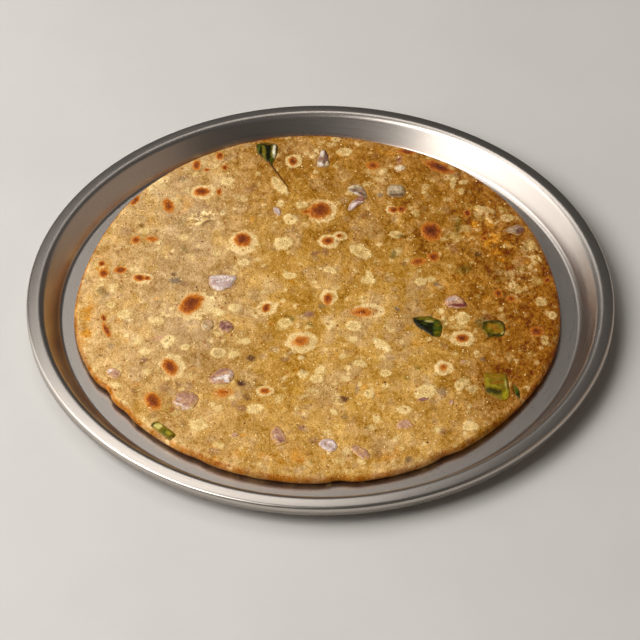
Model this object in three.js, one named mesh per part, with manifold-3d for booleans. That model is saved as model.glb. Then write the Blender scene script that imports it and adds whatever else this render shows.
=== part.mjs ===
// A round steel plate with one lentil flatbread lying in it, in millimetres, +Z up.
// The origin is the centre of the plate's underside, and the viewer stands at -Y.
import * as THREE from 'three';
import { mergeVertices } from 'three/addons/utils/BufferGeometryUtils.js';
import Module from 'manifold-3d';

// Plate: pressed from one sheet, with a flat floor, a sloping wall, a narrow rim and a folded lip
const PLATE_RADIUS = 130;
const PLATE_DEPTH = 10.5;
const SHEET = 0.8;
const FLOOR_RADIUS = 112.6;
const FLOOR_FILLET = 6;
const WALL_SLOPE = 55;
const CREST_FILLET = 1.5;
const RIM_SLOPE = 5;
const LIP_FILLET = 1.3;
const LIP_BOTTOM = 6.8;
const PLATE_SEGMENTS = 72;

// Flatbread: an uneven disc, a little longer from front to back than from side to side
const BREAD_CENTRE = [-1, 3.6];
const BREAD_RADIUS = 109.4;
const BREAD_THICKNESS = 4.2;
const EDGE_ROUND = 2.4;
const GAP = 0.3;
const BREAD_BOTTOM = SHEET + GAP;
const BREAD_TOP = BREAD_BOTTOM + BREAD_THICKNESS;
const GRID_RINGS = 17;
const EDGE_ANGLES = [50, 5, -40, -90];
const BOTTOM_RING_COUNTS = [34, 12];
const CRUMB_RELIEF = 0.12;

// Waves of the flatbread's outline: waves round the edge, height in mm, angle of a crest in degrees
const OUTLINE_WAVES = [
  { waves: 2, height: 2.0, crest: 90 },
  { waves: 3, height: 0.54, crest: -30 },
  { waves: 4, height: 0.27, crest: 16 },
  { waves: 5, height: 0.58, crest: -22 },
  { waves: 7, height: 0.36, crest: -13 },
];

// Cracks in the flatbread's edge: angle in degrees, depth in mm
const EDGE_CRACKS = [
  { angle: -148, depth: 1.9 },
  { angle: -140, depth: 0.9 },
  { angle: -118, depth: 0.7 },
  { angle: -85.5, depth: 1.4 },
  { angle: -60.5, depth: 1.1 },
];
const CRACK_WIDTH = 2.6;

// Gentle swells of the flatbread's top: length of the wave, direction, height and start
const SWELLS = [
  { length: 88, heading: 25, height: 0.22, start: 0.4 },
  { length: 61, heading: 118, height: 0.16, start: 2.1 },
  { length: 43, heading: 70, height: 0.09, start: 4.0 },
];

// Charred blisters: centre, length, width, turn in degrees, height above the top
const BLISTERS = [
  { at: [-56.2, 0], size: [15, 12], turn: 65, height: 0.9 },
  { at: [0.2, 62], size: [16, 14], turn: 20, height: 0.9 },
  { at: [-34.8, 41], size: [13, 12], turn: -50, height: 0.8 },
  { at: [-9, -24.2], size: [14, 12], turn: 35, height: 0.8 },
  { at: [19.8, -6.2], size: [14, 9], turn: 0, height: 0.7 },
  { at: [-65.4, -41], size: [12, 7], turn: -70, height: 0.6 },
  { at: [-72, -61.5], size: [12, 7], turn: -75, height: 0.6 },
  { at: [-54.5, 74.6], size: [10, 8], turn: 10, height: 0.6 },
  { at: [50.2, 48], size: [13, 8], turn: -80, height: 0.7 },
  { at: [62.3, -21.8], size: [9, 9], turn: 0, height: 0.6 },
  { at: [3.6, 40.8], size: [8.5, 8], turn: 0, height: 0.5 },
  { at: [-24, -3], size: [9, 8], turn: 75, height: 0.5 },
  { at: [3.5, 3], size: [9, 7], turn: 85, height: 0.5 },
  { at: [-13, 96], size: [8, 7], turn: 90, height: 0.5 },
  { at: [24.4, 93.4], size: [9, 7], turn: 0, height: 0.5 },
  { at: [35, 62.5], size: [9, 7], turn: 0, height: 0.5 },
  { at: [-42.3, -57.2], size: [8, 6], turn: 0, height: 0.5 },
  { at: [53.7, -40.8], size: [8, 8], turn: 0, height: 0.5 },
  { at: [56, 90.5], size: [11, 7], turn: -30, height: 0.5 },
  { at: [-80.2, 15.7], size: [10, 7], turn: 0, height: 0.5 },
];
const BLISTER_SIDES = 10;
const DOME_SUNK = 1;
const DOME_SHOULDER = { scale: 0.62, share: 0.85 };

// Pieces set into the top: kind, and the corners that its outline curves through, counterclockwise
const TOPPINGS = {
  onion_left: {
    kind: 'onion',
    corners: [[-49.9, 16.6], [-49.4, 11.8], [-45.7, 8.6], [-40.3, 10.8], [-37.6, 16], [-38.8, 18.9], [-48.3, 18.7]],
  },
  onion_mid: {
    kind: 'mauve',
    corners: [[-45, -15.4], [-43.5, -18.6], [-39.9, -18.6], [-37.9, -14.9], [-40.6, -11], [-43.9, -11.2]],
  },
  onion_pale: {
    kind: 'onion',
    corners: [[-52.6, -13.3], [-51.5, -17.6], [-48.6, -17.8], [-47, -14.4], [-47.6, -10.9], [-50.8, -10.2]],
  },
  onion_fold: {
    kind: 'onion',
    corners: [[-48.3, -48.2], [-46.2, -51], [-39.8, -50.4], [-37.2, -45.5], [-39.2, -41.3], [-44.3, -42]],
  },
  onion_rough: {
    kind: 'onion',
    corners: [[-63.8, -61.4], [-62.2, -65.1], [-58.2, -67.3], [-54.6, -65.8], [-52.4, -59.8], [-55.7, -55.8],
      [-61.5, -56.3]],
  },
  onion_back: {
    kind: 'onion',
    corners: [[-1.8, 95.4], [-0.9, 92.1], [3.4, 92.8], [3.8, 96.4], [3.1, 101.8], [1.4, 104.9], [-0.2, 102.8]],
  },
  onion_curl_far: {
    kind: 'mauve',
    corners: [[12.4, 78], [13.1, 74.7], [16.4, 72.6], [20.4, 70.4], [21.3, 73], [19.3, 78.4], [16, 80]],
  },
  onion_curl_near: {
    kind: 'onion',
    corners: [[12.4, 63.6], [13.5, 61.5], [18.5, 66.3], [20.2, 68.6], [15.4, 69.6]],
  },
  onion_round: {
    kind: 'onion',
    corners: [[30.3, 75.9], [31.5, 71.9], [37.3, 71.7], [39.3, 75.9], [37.3, 79.6], [31.9, 79.6]],
  },
  onion_right: {
    kind: 'mauve',
    corners: [[82.4, 48.3], [86.4, 46.2], [90, 44.8], [92.8, 48], [91.6, 51.6], [88.9, 52.3]],
  },
  onion_purple: {
    kind: 'mauve',
    corners: [[55.1, 2.7], [57.3, -2], [64.2, -2], [64.7, 1.2], [60.2, 6.2]],
  },
  onion_front_left: {
    kind: 'mauve',
    corners: [[-21.2, -79.7], [-20.3, -85], [-17.4, -87.9], [-14.2, -86], [-16.3, -78.1], [-18.9, -76]],
  },
  onion_front_mid: {
    kind: 'onion',
    corners: [[-0.5, -87.1], [1.6, -89.8], [5.2, -91.4], [7.5, -88.2], [5.2, -83.6], [0.9, -84]],
  },
  onion_front_right: {
    kind: 'mauve',
    corners: [[12.8, -88], [13.9, -91.1], [17.9, -95.1], [20.8, -95.1], [20.4, -90.6], [15.3, -86.9]],
  },
  onion_edge: {
    kind: 'onion',
    corners: [[-93, -43], [-91.7, -46.7], [-87.5, -47.4], [-86.4, -44.2], [-90, -40.8]],
  },
  leaf_back: {
    kind: 'leaf',
    corners: [[-29.9, 107.6], [-29.5, 102.3], [-27.4, 98.6], [-22.7, 92.7], [-21.9, 95.4], [-20.2, 101],
      [-20.4, 107.4], [-25.5, 109]],
  },
  leaf_front: {
    kind: 'leaf',
    corners: [[40.5, -8.7], [42.6, -14.2], [49, -20.2], [52.6, -20.7], [53.7, -14.8], [52.6, -9.9], [47.7, -7.7]],
  },
  chilli_ring: {
    kind: 'ring',
    corners: [[71.2, -15.3], [73.7, -20.6], [80.1, -20.2], [81.5, -15.3], [80.1, -10.4], [72.5, -10.6]],
  },
  chilli_chunk: {
    kind: 'chunk',
    corners: [[71.4, -43.8], [71.6, -55.1], [79.1, -60.4], [82, -56.9], [80.8, -44.2]],
  },
  chilli_sliver: {
    kind: 'chunk',
    corners: [[83.9, -50.4], [84.2, -55.4], [86, -59.2], [86.1, -54]],
  },
  chilli_edge: {
    kind: 'chunk',
    corners: [[-72.6, -76.2], [-64.2, -84.6], [-61.6, -81.4], [-69.6, -73.4]],
  },
};
const TOPPING_SUNK = 1.4;
const TOPPING_PROUD = 0.4;
const TOPPING_SHOULDER = 0.66;
const SPAN_STEPS = 2;
const POCKET_MARGIN = 0.36;
const POCKET_MOUTH = 3;
const OUTLINE_WOBBLE = 0.07;
const ROOT_SCALE = 0.95;

// Loose scatter fused to the top: lentil halves, and seeds and onion chips
const LENTILS = { count: 22, length: [4.2, 6.4], height: 0.45, sides: 8 };
const CHIPS = { count: 16, length: [2.4, 4], height: 0.4, sides: 6 };
const SCATTER_SLIMNESS = [0.6, 1];
const SCATTER_CLEAR = 2.5;
const SCATTER_RIM = 6;
const RANDOM_SEED = 20261130;

// How far each kind's outline curves through its corners: 0 leaves them sharp, 0.5 rounds them fully
const ROUNDNESS = { onion: 0.5, mauve: 0.5, leaf: 0.3, ring: 0.4, chunk: 0.2 };

const materials = {
  steel: new THREE.MeshStandardMaterial({ color: 0xb3a99f, roughness: 0.32, metalness: 1 }),
  bread: new THREE.MeshStandardMaterial({ color: 0xb78d4c, roughness: 0.7, metalness: 0 }),
  onion: new THREE.MeshStandardMaterial({ color: 0xc3b0b6, roughness: 0.4, metalness: 0 }),
  mauve: new THREE.MeshStandardMaterial({ color: 0x94727c, roughness: 0.4, metalness: 0 }),
  leaf: new THREE.MeshStandardMaterial({ color: 0x24401c, roughness: 0.35, metalness: 0 }),
  chilli: new THREE.MeshStandardMaterial({ color: 0x6f8a2b, roughness: 0.35, metalness: 0 }),
};
const KIND_MATERIAL = { onion: 'onion', mauve: 'mauve', leaf: 'leaf', ring: 'chilli', chunk: 'chilli' };

const wasm = await Module();
wasm.setup();
const radians = THREE.MathUtils.degToRad;
const random = seededRandom(RANDOM_SEED);

function seededRandom(seed) {
  let state = seed;
  return () => {
    state = (state * 1664525 + 1013904223) % 4294967296;
    return state / 4294967296;
  };
}

function between([low, high]) {
  return low + (high - low) * random();
}

// Solids and meshes

function toSolid(geometry) {
  geometry.deleteAttribute('normal');
  geometry.deleteAttribute('uv');
  const merged = mergeVertices(geometry, 1e-4);
  return new wasm.Manifold(new wasm.Mesh({
    numProp: 3,
    vertProperties: merged.attributes.position.array,
    triVerts: new Uint32Array(merged.index.array),
  }));
}

function toMesh(name, solid, material) {
  const { vertProperties, triVerts } = solid.getMesh();
  const geometry = new THREE.BufferGeometry();
  geometry.setAttribute('position', new THREE.BufferAttribute(vertProperties, 3));
  geometry.setIndex(new THREE.BufferAttribute(triVerts, 1));
  geometry.computeVertexNormals();
  const mesh = new THREE.Mesh(geometry, material);
  mesh.name = name;
  return mesh;
}

// A closed skin over rings of points, from a middle point on the underside to one on the top
function ringSkin(bottom, rings, top) {
  const points = [bottom, ...rings.flat(), top];
  const faces = [];
  let start = 1;
  rings.forEach((ring, level) => {
    const next = rings[level + 1];
    if (level === 0) fan(faces, 0, start, ring.length, true);
    if (next) stitch(faces, start, ring.length, start + ring.length, next.length);
    else fan(faces, points.length - 1, start, ring.length, false);
    start += ring.length;
  });
  const geometry = new THREE.BufferGeometry();
  geometry.setAttribute('position', new THREE.Float32BufferAttribute(points.flat(), 3));
  geometry.setIndex(faces);
  return toSolid(geometry);
}

function fan(faces, middle, start, count, underside) {
  for (let i = 0; i < count; i++) {
    const here = start + i;
    const after = start + ((i + 1) % count);
    faces.push(...(underside ? [middle, after, here] : [middle, here, after]));
  }
}

// Joins two rings that may have different numbers of points, both starting at the same angle
function stitch(faces, startA, countA, startB, countB) {
  let a = 0;
  let b = 0;
  while (a < countA || b < countB) {
    const stepA = b === countB || (a < countA && (a + 1) / countA <= (b + 1) / countB);
    const pointA = startA + (a % countA);
    const pointB = startB + (b % countB);
    if (stepA) {
      faces.push(pointA, startA + ((a + 1) % countA), pointB);
      a += 1;
    } else {
      faces.push(pointA, startB + ((b + 1) % countB), pointB);
      b += 1;
    }
  }
}

// Plate

// Walks along the sheet's upper face by lines and bends, and keeps each point with its heading
function sheetPath() {
  const path = [{ r: 0, z: SHEET, heading: 0 }];
  const end = () => path[path.length - 1];
  const line = (length) => {
    const { r, z, heading } = end();
    path.push({ r: r + length * Math.cos(heading), z: z + length * Math.sin(heading), heading });
  };
  const bend = (radius, degrees, steps) => {
    const turn = radians(degrees) / steps;
    const chord = 2 * radius * Math.sin(Math.abs(turn) / 2);
    for (let i = 0; i < steps; i++) {
      const { r, z, heading } = end();
      const along = heading + turn / 2;
      path.push({
        r: r + chord * Math.cos(along),
        z: z + chord * Math.sin(along),
        heading: heading + turn,
      });
    }
  };
  const slope = radians(WALL_SLOPE);
  const bendRise = (FLOOR_FILLET + CREST_FILLET) * (1 - Math.cos(slope));
  line(FLOOR_RADIUS);
  bend(FLOOR_FILLET, WALL_SLOPE, 4);
  line((PLATE_DEPTH - bendRise) / Math.sin(slope));
  bend(CREST_FILLET, -WALL_SLOPE - RIM_SLOPE, 3);
  const lipTurn = radians(90 - RIM_SLOPE);
  const lipReach = LIP_FILLET * (1 - Math.cos(lipTurn));
  line((PLATE_RADIUS - lipReach - end().r) / Math.cos(radians(RIM_SLOPE)));
  bend(LIP_FILLET, RIM_SLOPE - 90, 3);
  line(end().z - LIP_BOTTOM);
  return path;
}

function makePlate() {
  const upper = sheetPath();
  const lower = upper.map(({ r, z, heading }) => new THREE.Vector2(
    r + SHEET * Math.sin(heading),
    z - SHEET * Math.cos(heading),
  ));
  const profile = [...lower, ...upper.map(({ r, z }) => new THREE.Vector2(r, z)).reverse()];
  profile[0].x = 0;
  const geometry = new THREE.LatheGeometry(profile, PLATE_SEGMENTS);
  geometry.rotateX(Math.PI / 2);
  return toSolid(geometry);
}

// Flatbread

function angleApart(a, b) {
  return Math.abs(((a - b + 540) % 360) - 180);
}

function breadRadius(theta) {
  const degrees = THREE.MathUtils.radToDeg(theta);
  let radius = BREAD_RADIUS;
  for (const { waves, height, crest } of OUTLINE_WAVES) {
    radius += height * Math.cos(waves * (theta - radians(crest)));
  }
  for (const { angle, depth } of EDGE_CRACKS) {
    radius -= depth * Math.exp(-((angleApart(degrees, angle) / CRACK_WIDTH) ** 2));
  }
  return radius;
}

function breadTop(x, y) {
  let height = BREAD_TOP;
  for (const { length, heading, height: rise, start } of SWELLS) {
    const along = x * Math.cos(radians(heading)) + y * Math.sin(radians(heading));
    height += rise * Math.sin((2 * Math.PI * along) / length + start);
  }
  return height;
}

function onBread(theta, radius) {
  return [BREAD_CENTRE[0] + radius * Math.cos(theta), BREAD_CENTRE[1] + radius * Math.sin(theta)];
}

function ringAngles(count) {
  return Array.from({ length: count }, (_, i) => (2 * Math.PI * i) / count);
}

function edgeRing(degrees, count) {
  const lean = radians(degrees);
  return ringAngles(count).map((theta) => {
    const [x, y] = onBread(theta, breadRadius(theta) - EDGE_ROUND * (1 - Math.cos(lean)));
    const middle = (BREAD_BOTTOM + breadTop(x, y)) / 2;
    return [x, y, middle + (middle - BREAD_BOTTOM) * Math.sin(lean)];
  });
}

function topRing(level) {
  return ringAngles(6 * level).map((theta) => {
    const [x, y] = onBread(theta, (breadRadius(theta) - EDGE_ROUND) * (level / GRID_RINGS));
    return [x, y, breadTop(x, y) + CRUMB_RELIEF * (2 * random() - 1)];
  });
}

function bottomRing(count, level) {
  const share = (level + 1) / (BOTTOM_RING_COUNTS.length + 1);
  return ringAngles(count).map((theta) => [
    ...onBread(theta, (breadRadius(theta) - EDGE_ROUND) * share),
    BREAD_BOTTOM,
  ]);
}

function makeDisc() {
  const rings = [...BOTTOM_RING_COUNTS].reverse().map(bottomRing);
  for (const degrees of [...EDGE_ANGLES].reverse()) rings.push(edgeRing(degrees, 6 * GRID_RINGS));
  for (let level = GRID_RINGS; level > 0; level--) rings.push(topRing(level));
  const [x, y] = BREAD_CENTRE;
  return ringSkin([x, y, BREAD_BOTTOM], rings, [x, y, breadTop(x, y)]);
}

// A low, uneven oval dome that is sunk into the flatbread's top and stands above it
function makeDome({ at: [x, y], size: [long, wide], turn }, sides, height) {
  const wobble = ringAngles(sides).map(() => 1 + OUTLINE_WOBBLE * (2 * random() - 1));
  const c = Math.cos(radians(turn));
  const s = Math.sin(radians(turn));
  const level = (scale, rise) => ringAngles(sides).map((angle, i) => {
    const along = (long / 2) * Math.cos(angle) * wobble[i] * scale;
    const across = (wide / 2) * Math.sin(angle) * wobble[i] * scale;
    return onTop(x + along * c - across * s, y + along * s + across * c, rise);
  });
  const rings = [
    level(ROOT_SCALE, -DOME_SUNK),
    level(1, -CRUMB_RELIEF),
    level(DOME_SHOULDER.scale, height * DOME_SHOULDER.share),
  ];
  return ringSkin(onTop(x, y, -DOME_SUNK), rings, onTop(x, y, height));
}

function onTop(x, y, rise) {
  return [x, y, breadTop(x, y) + rise];
}

// A piece's smooth outline through its corners, with its middle and its longest width
function traced({ kind, corners }) {
  const points = corners.map(([x, y]) => new THREE.Vector3(x, y, 0));
  const curve = new THREE.CatmullRomCurve3(points, true, 'catmullrom', ROUNDNESS[kind]);
  const edge = curve.getPoints(corners.length * SPAN_STEPS).slice(0, -1);
  const middle = new THREE.Box3().setFromPoints(edge).getCenter(new THREE.Vector3());
  const reach = Math.max(...edge.map((point) => point.distanceTo(middle)));
  return { kind, edge, at: [middle.x, middle.y], size: [2 * reach] };
}

// A ring over the outline: drawn in towards the middle by a scale, then moved outwards by a margin
function pieceRing({ at, edge }, scale, margin, rise) {
  return edge.map((point, i) => {
    const before = edge[(i + edge.length - 1) % edge.length];
    const after = edge[(i + 1) % edge.length];
    const along = after.clone().sub(before).normalize();
    const x = at[0] + (point.x - at[0]) * scale + along.y * margin;
    const y = at[1] + (point.y - at[1]) * scale - along.x * margin;
    return onTop(x, y, rise);
  });
}

// The height of a piece's face above the flatbread's top, at its edge, part way in and in the middle
function faceHeights(kind) {
  if (kind === 'ring') return [TOPPING_PROUD, TOPPING_PROUD, -TOPPING_PROUD / 2];
  if (kind === 'leaf') return [TOPPING_PROUD / 3, TOPPING_PROUD, TOPPING_PROUD * 1.6];
  return [0, TOPPING_PROUD, TOPPING_PROUD * 1.2];
}

function makeTopping(piece) {
  const [edge, shoulder, middle] = faceHeights(piece.kind);
  const rings = [
    pieceRing(piece, ROOT_SCALE, 0, -TOPPING_SUNK),
    pieceRing(piece, 1, 0, edge),
    pieceRing(piece, TOPPING_SHOULDER, 0, shoulder),
  ];
  return ringSkin(onTop(...piece.at, -TOPPING_SUNK), rings, onTop(...piece.at, middle));
}

function makePocket(piece) {
  const floor = -TOPPING_SUNK - GAP;
  const rings = [floor, POCKET_MOUTH].map((rise) => pieceRing(piece, 1, POCKET_MARGIN, rise));
  return ringSkin(onTop(...piece.at, floor), rings, onTop(...piece.at, POCKET_MOUTH));
}

// Places for the scatter, by rule: one after another, each clear of all the pieces before it
function scatterPlaces({ count, length }, taken) {
  const places = [];
  while (places.length < count) {
    const theta = 2 * Math.PI * random();
    const reach = breadRadius(theta) - SCATTER_RIM;
    const at = onBread(theta, reach * Math.sqrt(random()));
    const long = between(length);
    const free = taken.every((other) => {
      const apart = Math.hypot(at[0] - other.at[0], at[1] - other.at[1]);
      return apart > (long + other.size[0]) / 2 + SCATTER_CLEAR;
    });
    const place = { at, size: [long, long * between(SCATTER_SLIMNESS)], turn: 360 * random() };
    if (free) {
      places.push(place);
      taken.push(place);
    }
  }
  return places;
}

function largestPiece(solid) {
  return solid.decompose().sort((a, b) => b.volume() - a.volume())[0];
}

function makeFlatbread(pieces) {
  const taken = [...pieces, ...BLISTERS];
  const domes = BLISTERS.map((shape) => makeDome(shape, BLISTER_SIDES, shape.height));
  for (const kind of [LENTILS, CHIPS]) {
    const places = scatterPlaces(kind, taken);
    domes.push(...places.map((place) => makeDome(place, kind.sides, kind.height)));
  }
  const whole = wasm.Manifold.union([makeDisc(), ...domes]);
  return largestPiece(whole.subtract(wasm.Manifold.union(pieces.map(makePocket))));
}

const pieces = Object.values(TOPPINGS).map(traced);

const group = new THREE.Group();
group.add(toMesh('plate', makePlate(), materials.steel));
group.add(toMesh('flatbread', makeFlatbread(pieces), materials.bread));
Object.keys(TOPPINGS).forEach((name, i) => {
  const material = materials[KIND_MATERIAL[pieces[i].kind]];
  group.add(toMesh(name, makeTopping(pieces[i]), material));
});

export default group;
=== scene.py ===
# A round steel plate with one lentil flatbread lying in it.
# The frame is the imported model's, in metres, +Z up, and the viewer stands at -Y.
# Sizes below are in millimetres, and MM turns them into metres.
import math

import bpy
import numpy as np
from mathutils import Matrix, Vector, noise


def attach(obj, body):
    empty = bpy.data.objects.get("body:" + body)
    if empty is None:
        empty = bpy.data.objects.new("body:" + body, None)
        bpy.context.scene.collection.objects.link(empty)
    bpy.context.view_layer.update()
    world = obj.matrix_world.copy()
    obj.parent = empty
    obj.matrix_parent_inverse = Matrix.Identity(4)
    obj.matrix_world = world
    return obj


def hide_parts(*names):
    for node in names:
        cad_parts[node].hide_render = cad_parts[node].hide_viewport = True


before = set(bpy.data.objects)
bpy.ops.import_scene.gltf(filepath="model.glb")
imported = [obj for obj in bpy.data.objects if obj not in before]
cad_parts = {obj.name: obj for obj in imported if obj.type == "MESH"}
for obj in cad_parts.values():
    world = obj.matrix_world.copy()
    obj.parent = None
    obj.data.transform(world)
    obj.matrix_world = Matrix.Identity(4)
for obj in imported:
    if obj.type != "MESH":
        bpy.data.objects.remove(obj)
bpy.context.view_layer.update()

MM = 0.001

# Plate: the upper face of the sheet, as straight lines with a round bend at each corner
PLATE_RADIUS = 130
PLATE_DEPTH = 10.5
SHEET = 0.8
FLOOR_RADIUS = 114.2
FLOOR_FILLET = 3
WALL_SLOPE = 55
CREST_FILLET = 4
RIM_SLOPE = 5
LIP_FILLET = 1.3
LIP_BOTTOM = 6.8
PLATE_SEGMENTS = 360
BEND_STEPS = 8

# Flatbread: an uneven disc, a little longer from front to back than from side to side
BREAD_CENTRE = (-1, 3.6)
BREAD_RADIUS = 109.4
EDGE_ROUND = 2.4
BREAD_BOTTOM = 0.85
BREAD_TOP = 5.3
TOP_RINGS = 150
EDGE_ROWS = 14
UNDERSIDE_RINGS = (110, 60, 30, 15, 6)

# Waves of the flatbread's outline: waves round the edge, height in mm, angle of a crest in degrees
OUTLINE_WAVES = ((2, 2.0, 90), (3, 0.54, -30), (4, 0.27, 16), (5, 0.58, -22), (7, 0.36, -13))

# Cracks in the flatbread's edge: angle in degrees, depth in mm
EDGE_CRACKS = ((-148, 1.9), (-140, 0.9), (-118, 0.7), (-85.5, 1.4), (-60.5, 1.1))
CRACK_WIDTH = 2.6

# Where a painted highlight lies on the flatbread's side: its browning and the painted shade at its foot are
# thinned there, so it stays light down to its bottom
PAINTED_EDGE_HIGHLIGHT = (77, -76)

# Swells of the flatbread's top: length of the wave in mm, heading in degrees, height in mm, start
SWELLS = ((88, 25, 0.22, 0.4), (61, 118, 0.16, 2.1), (43, 70, 0.09, 4.0))

# Blisters: centre x, y, length and width of the charred core, its turn in degrees, how dark it is,
# then the pale ring round it: shift x, y from the core, length, width; and the height of the bubble
BLISTERS = (
    (-57.4, -0.6, 14.0, 9.0, 62, 0.82, 1.8, -0.8, 18.0, 14.6, 0.8),
    (-0.4, 61.3, 11.4, 9.8, 80, 0.78, 1.4, -0.3, 15.0, 13.0, 0.8),
    (-6.0, 60.7, 6.0, 3.4, 10, 0.5, 0, 0, 0, 0, 0),
    (-35.3, 41.5, 8.8, 7.0, 90, 0.95, 0.6, -1.6, 15.0, 12.2, 0.7),
    (-8.6, -24.3, 8.4, 6.2, 35, 0.5, 0.4, -0.4, 13.6, 12.6, 0.7),
    (18.6, -5.9, 11.0, 7.0, 0, 0.48, 3.0, 1.2, 13.4, 9.0, 0.6),
    (-65.4, -41.0, 10.6, 6.2, -70, 0.8, 1.6, 0.8, 14.0, 10.4, 0.5),
    (-72.0, -61.5, 10.6, 6.6, -75, 0.78, 0, 0, 0, 0, 0.5),
    (-54.5, 74.6, 7.4, 5.8, 10, 0.8, 0.4, 0, 11.5, 9.5, 0.5),
    (50.2, 48.2, 11.6, 8.6, -80, 1.0, 0, 0, 0, 0, 0.5),
    (62.3, -21.8, 5.4, 5.2, 0, 0.8, 0, 0, 10.6, 10.0, 0.5),
    (3.4, 41.0, 5.2, 5.0, 0, 0.85, 0.4, -0.2, 9.4, 9.0, 0.4),
    (8.7, 44.6, 2.8, 2.6, 0, 0.7, 0.3, 0, 6.2, 6.0, 0.2),
    (-24.0, -3.0, 5.4, 3.2, 75, 0.9, 0, 0, 9.6, 9.0, 0.4),
    (3.3, 2.6, 7.4, 4.0, 85, 0.75, 0.6, 1.6, 10.0, 8.0, 0.4),
    (-13.0, 96.0, 5.8, 3.8, 90, 0.85, 0.4, 0, 9.0, 7.6, 0.4),
    (24.2, 93.4, 6.6, 5.6, 0, 0.6, 0, 0, 0, 0, 0.4),
    (33.4, 62.6, 4.6, 4.4, 0, 0.75, -0.6, 0, 5.8, 5.6, 0.3),
    (37.0, 62.8, 4.4, 4.8, 0, 0.7, 0, 0, 0, 0, 0.2),
    (-42.3, -56.6, 9.4, 6.8, 20, 0.4, 0, 0, 0, 0, 0.3),
    (43.9, 27.7, 8.0, 5.4, 10, 0.55, 0, 0, 0, 0, 0.3),
    (50.8, 30.9, 6.0, 5.4, 80, 0.75, 0, 0, 0, 0, 0.2),
    (53.7, -40.6, 4.6, 3.6, 90, 0.5, 0, -0.4, 9.0, 8.2, 0.25),
    (-23.9, -55.0, 5.0, 4.0, 0, 0.6, 0, 0, 7.6, 6.4, 0.3),
    (95.2, -17.5, 6.0, 6.0, 0, 0.75, 0, 0, 0, 0, 0.3),
    (79.2, 7.2, 5.0, 3.4, 90, 0.7, 0, 0, 0, 0, 0.2),
    (84.7, 3.6, 4.4, 4.2, 0, 0.65, 0, 0, 0, 0, 0.2),
    (-80.8, 15.7, 5.4, 4.4, 0, 0.85, 1.4, 0, 9.0, 7.0, 0.4),
    (-77.5, 15.7, 3.6, 2.8, 0, 0.6, 0, 0, 0, 0, 0),
    (-89.7, 21.0, 5.4, 4.6, 0, 0.8, 0, 0, 0, 0, 0.2),
    (-96.9, 19.0, 6.0, 3.8, 90, 0.75, 0, 0, 0, 0, 0.2),
    (-98.2, 25.4, 3.6, 3.0, 90, 0.85, 0, 0, 0, 0, 0),
    (54.6, 91.8, 13.6, 5.4, -30, 1.0, 0, 0, 0, 0, 0.4),
    (40.0, 102.8, 8.0, 3.4, -15, 0.85, 0, 0, 0, 0, 0.2),
    (-69.5, 65.0, 10.0, 5.0, -75, 0.66, 0, 0, 0, 0, 0.2),
    (-83.5, 41.5, 5.0, 4.0, 80, 0.75, 0, 0, 0, 0, 0.2),
    (-76.2, 42.0, 6.6, 4.4, 0, 0.45, 0, 0, 0, 0, 0.2),
    (-57.4, 93.0, 7.0, 3.6, 90, 0.75, 0, 0, 0, 0, 0.2),
    (-46.9, 99.4, 5.0, 3.4, 90, 0.9, 0, 0, 0, 0, 0.2),
    (-44.3, 91.3, 3.4, 2.6, 90, 0.85, 0, 0, 0, 0, 0),
    (-52.8, 89.7, 2.6, 2.4, 0, 0.8, 0, 0, 0, 0, 0),
    (-46.6, 74.9, 5.0, 2.4, 90, 0.7, 0, 0, 0, 0, 0.2),
    (-94.0, -17.5, 10.0, 2.4, -68, 0.78, 0, 0, 0, 0, 0.2),
    (-95.8, -9.5, 4.4, 1.8, -75, 1.0, 0, 0, 0, 0, 0),
    (-85.0, 68.4, 7.0, 3.0, 70, 0.8, 0, 0, 0, 0, 0),
    (74.2, 43.0, 3.2, 3.0, 0, 0.75, 0, 0, 0, 0, 0.2),
    (101.2, 15.7, 4.2, 2.2, 70, 0.9, 0, 0, 0, 0, 0),
    (66.9, 60.4, 5.0, 3.0, 90, 0.9, 0, 0, 0, 0, 0.2),
)

# The dough's grain is drawn out along y, as it was rolled: less than 1 draws it out
DOUGH_STRETCH = 0.8

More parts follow.
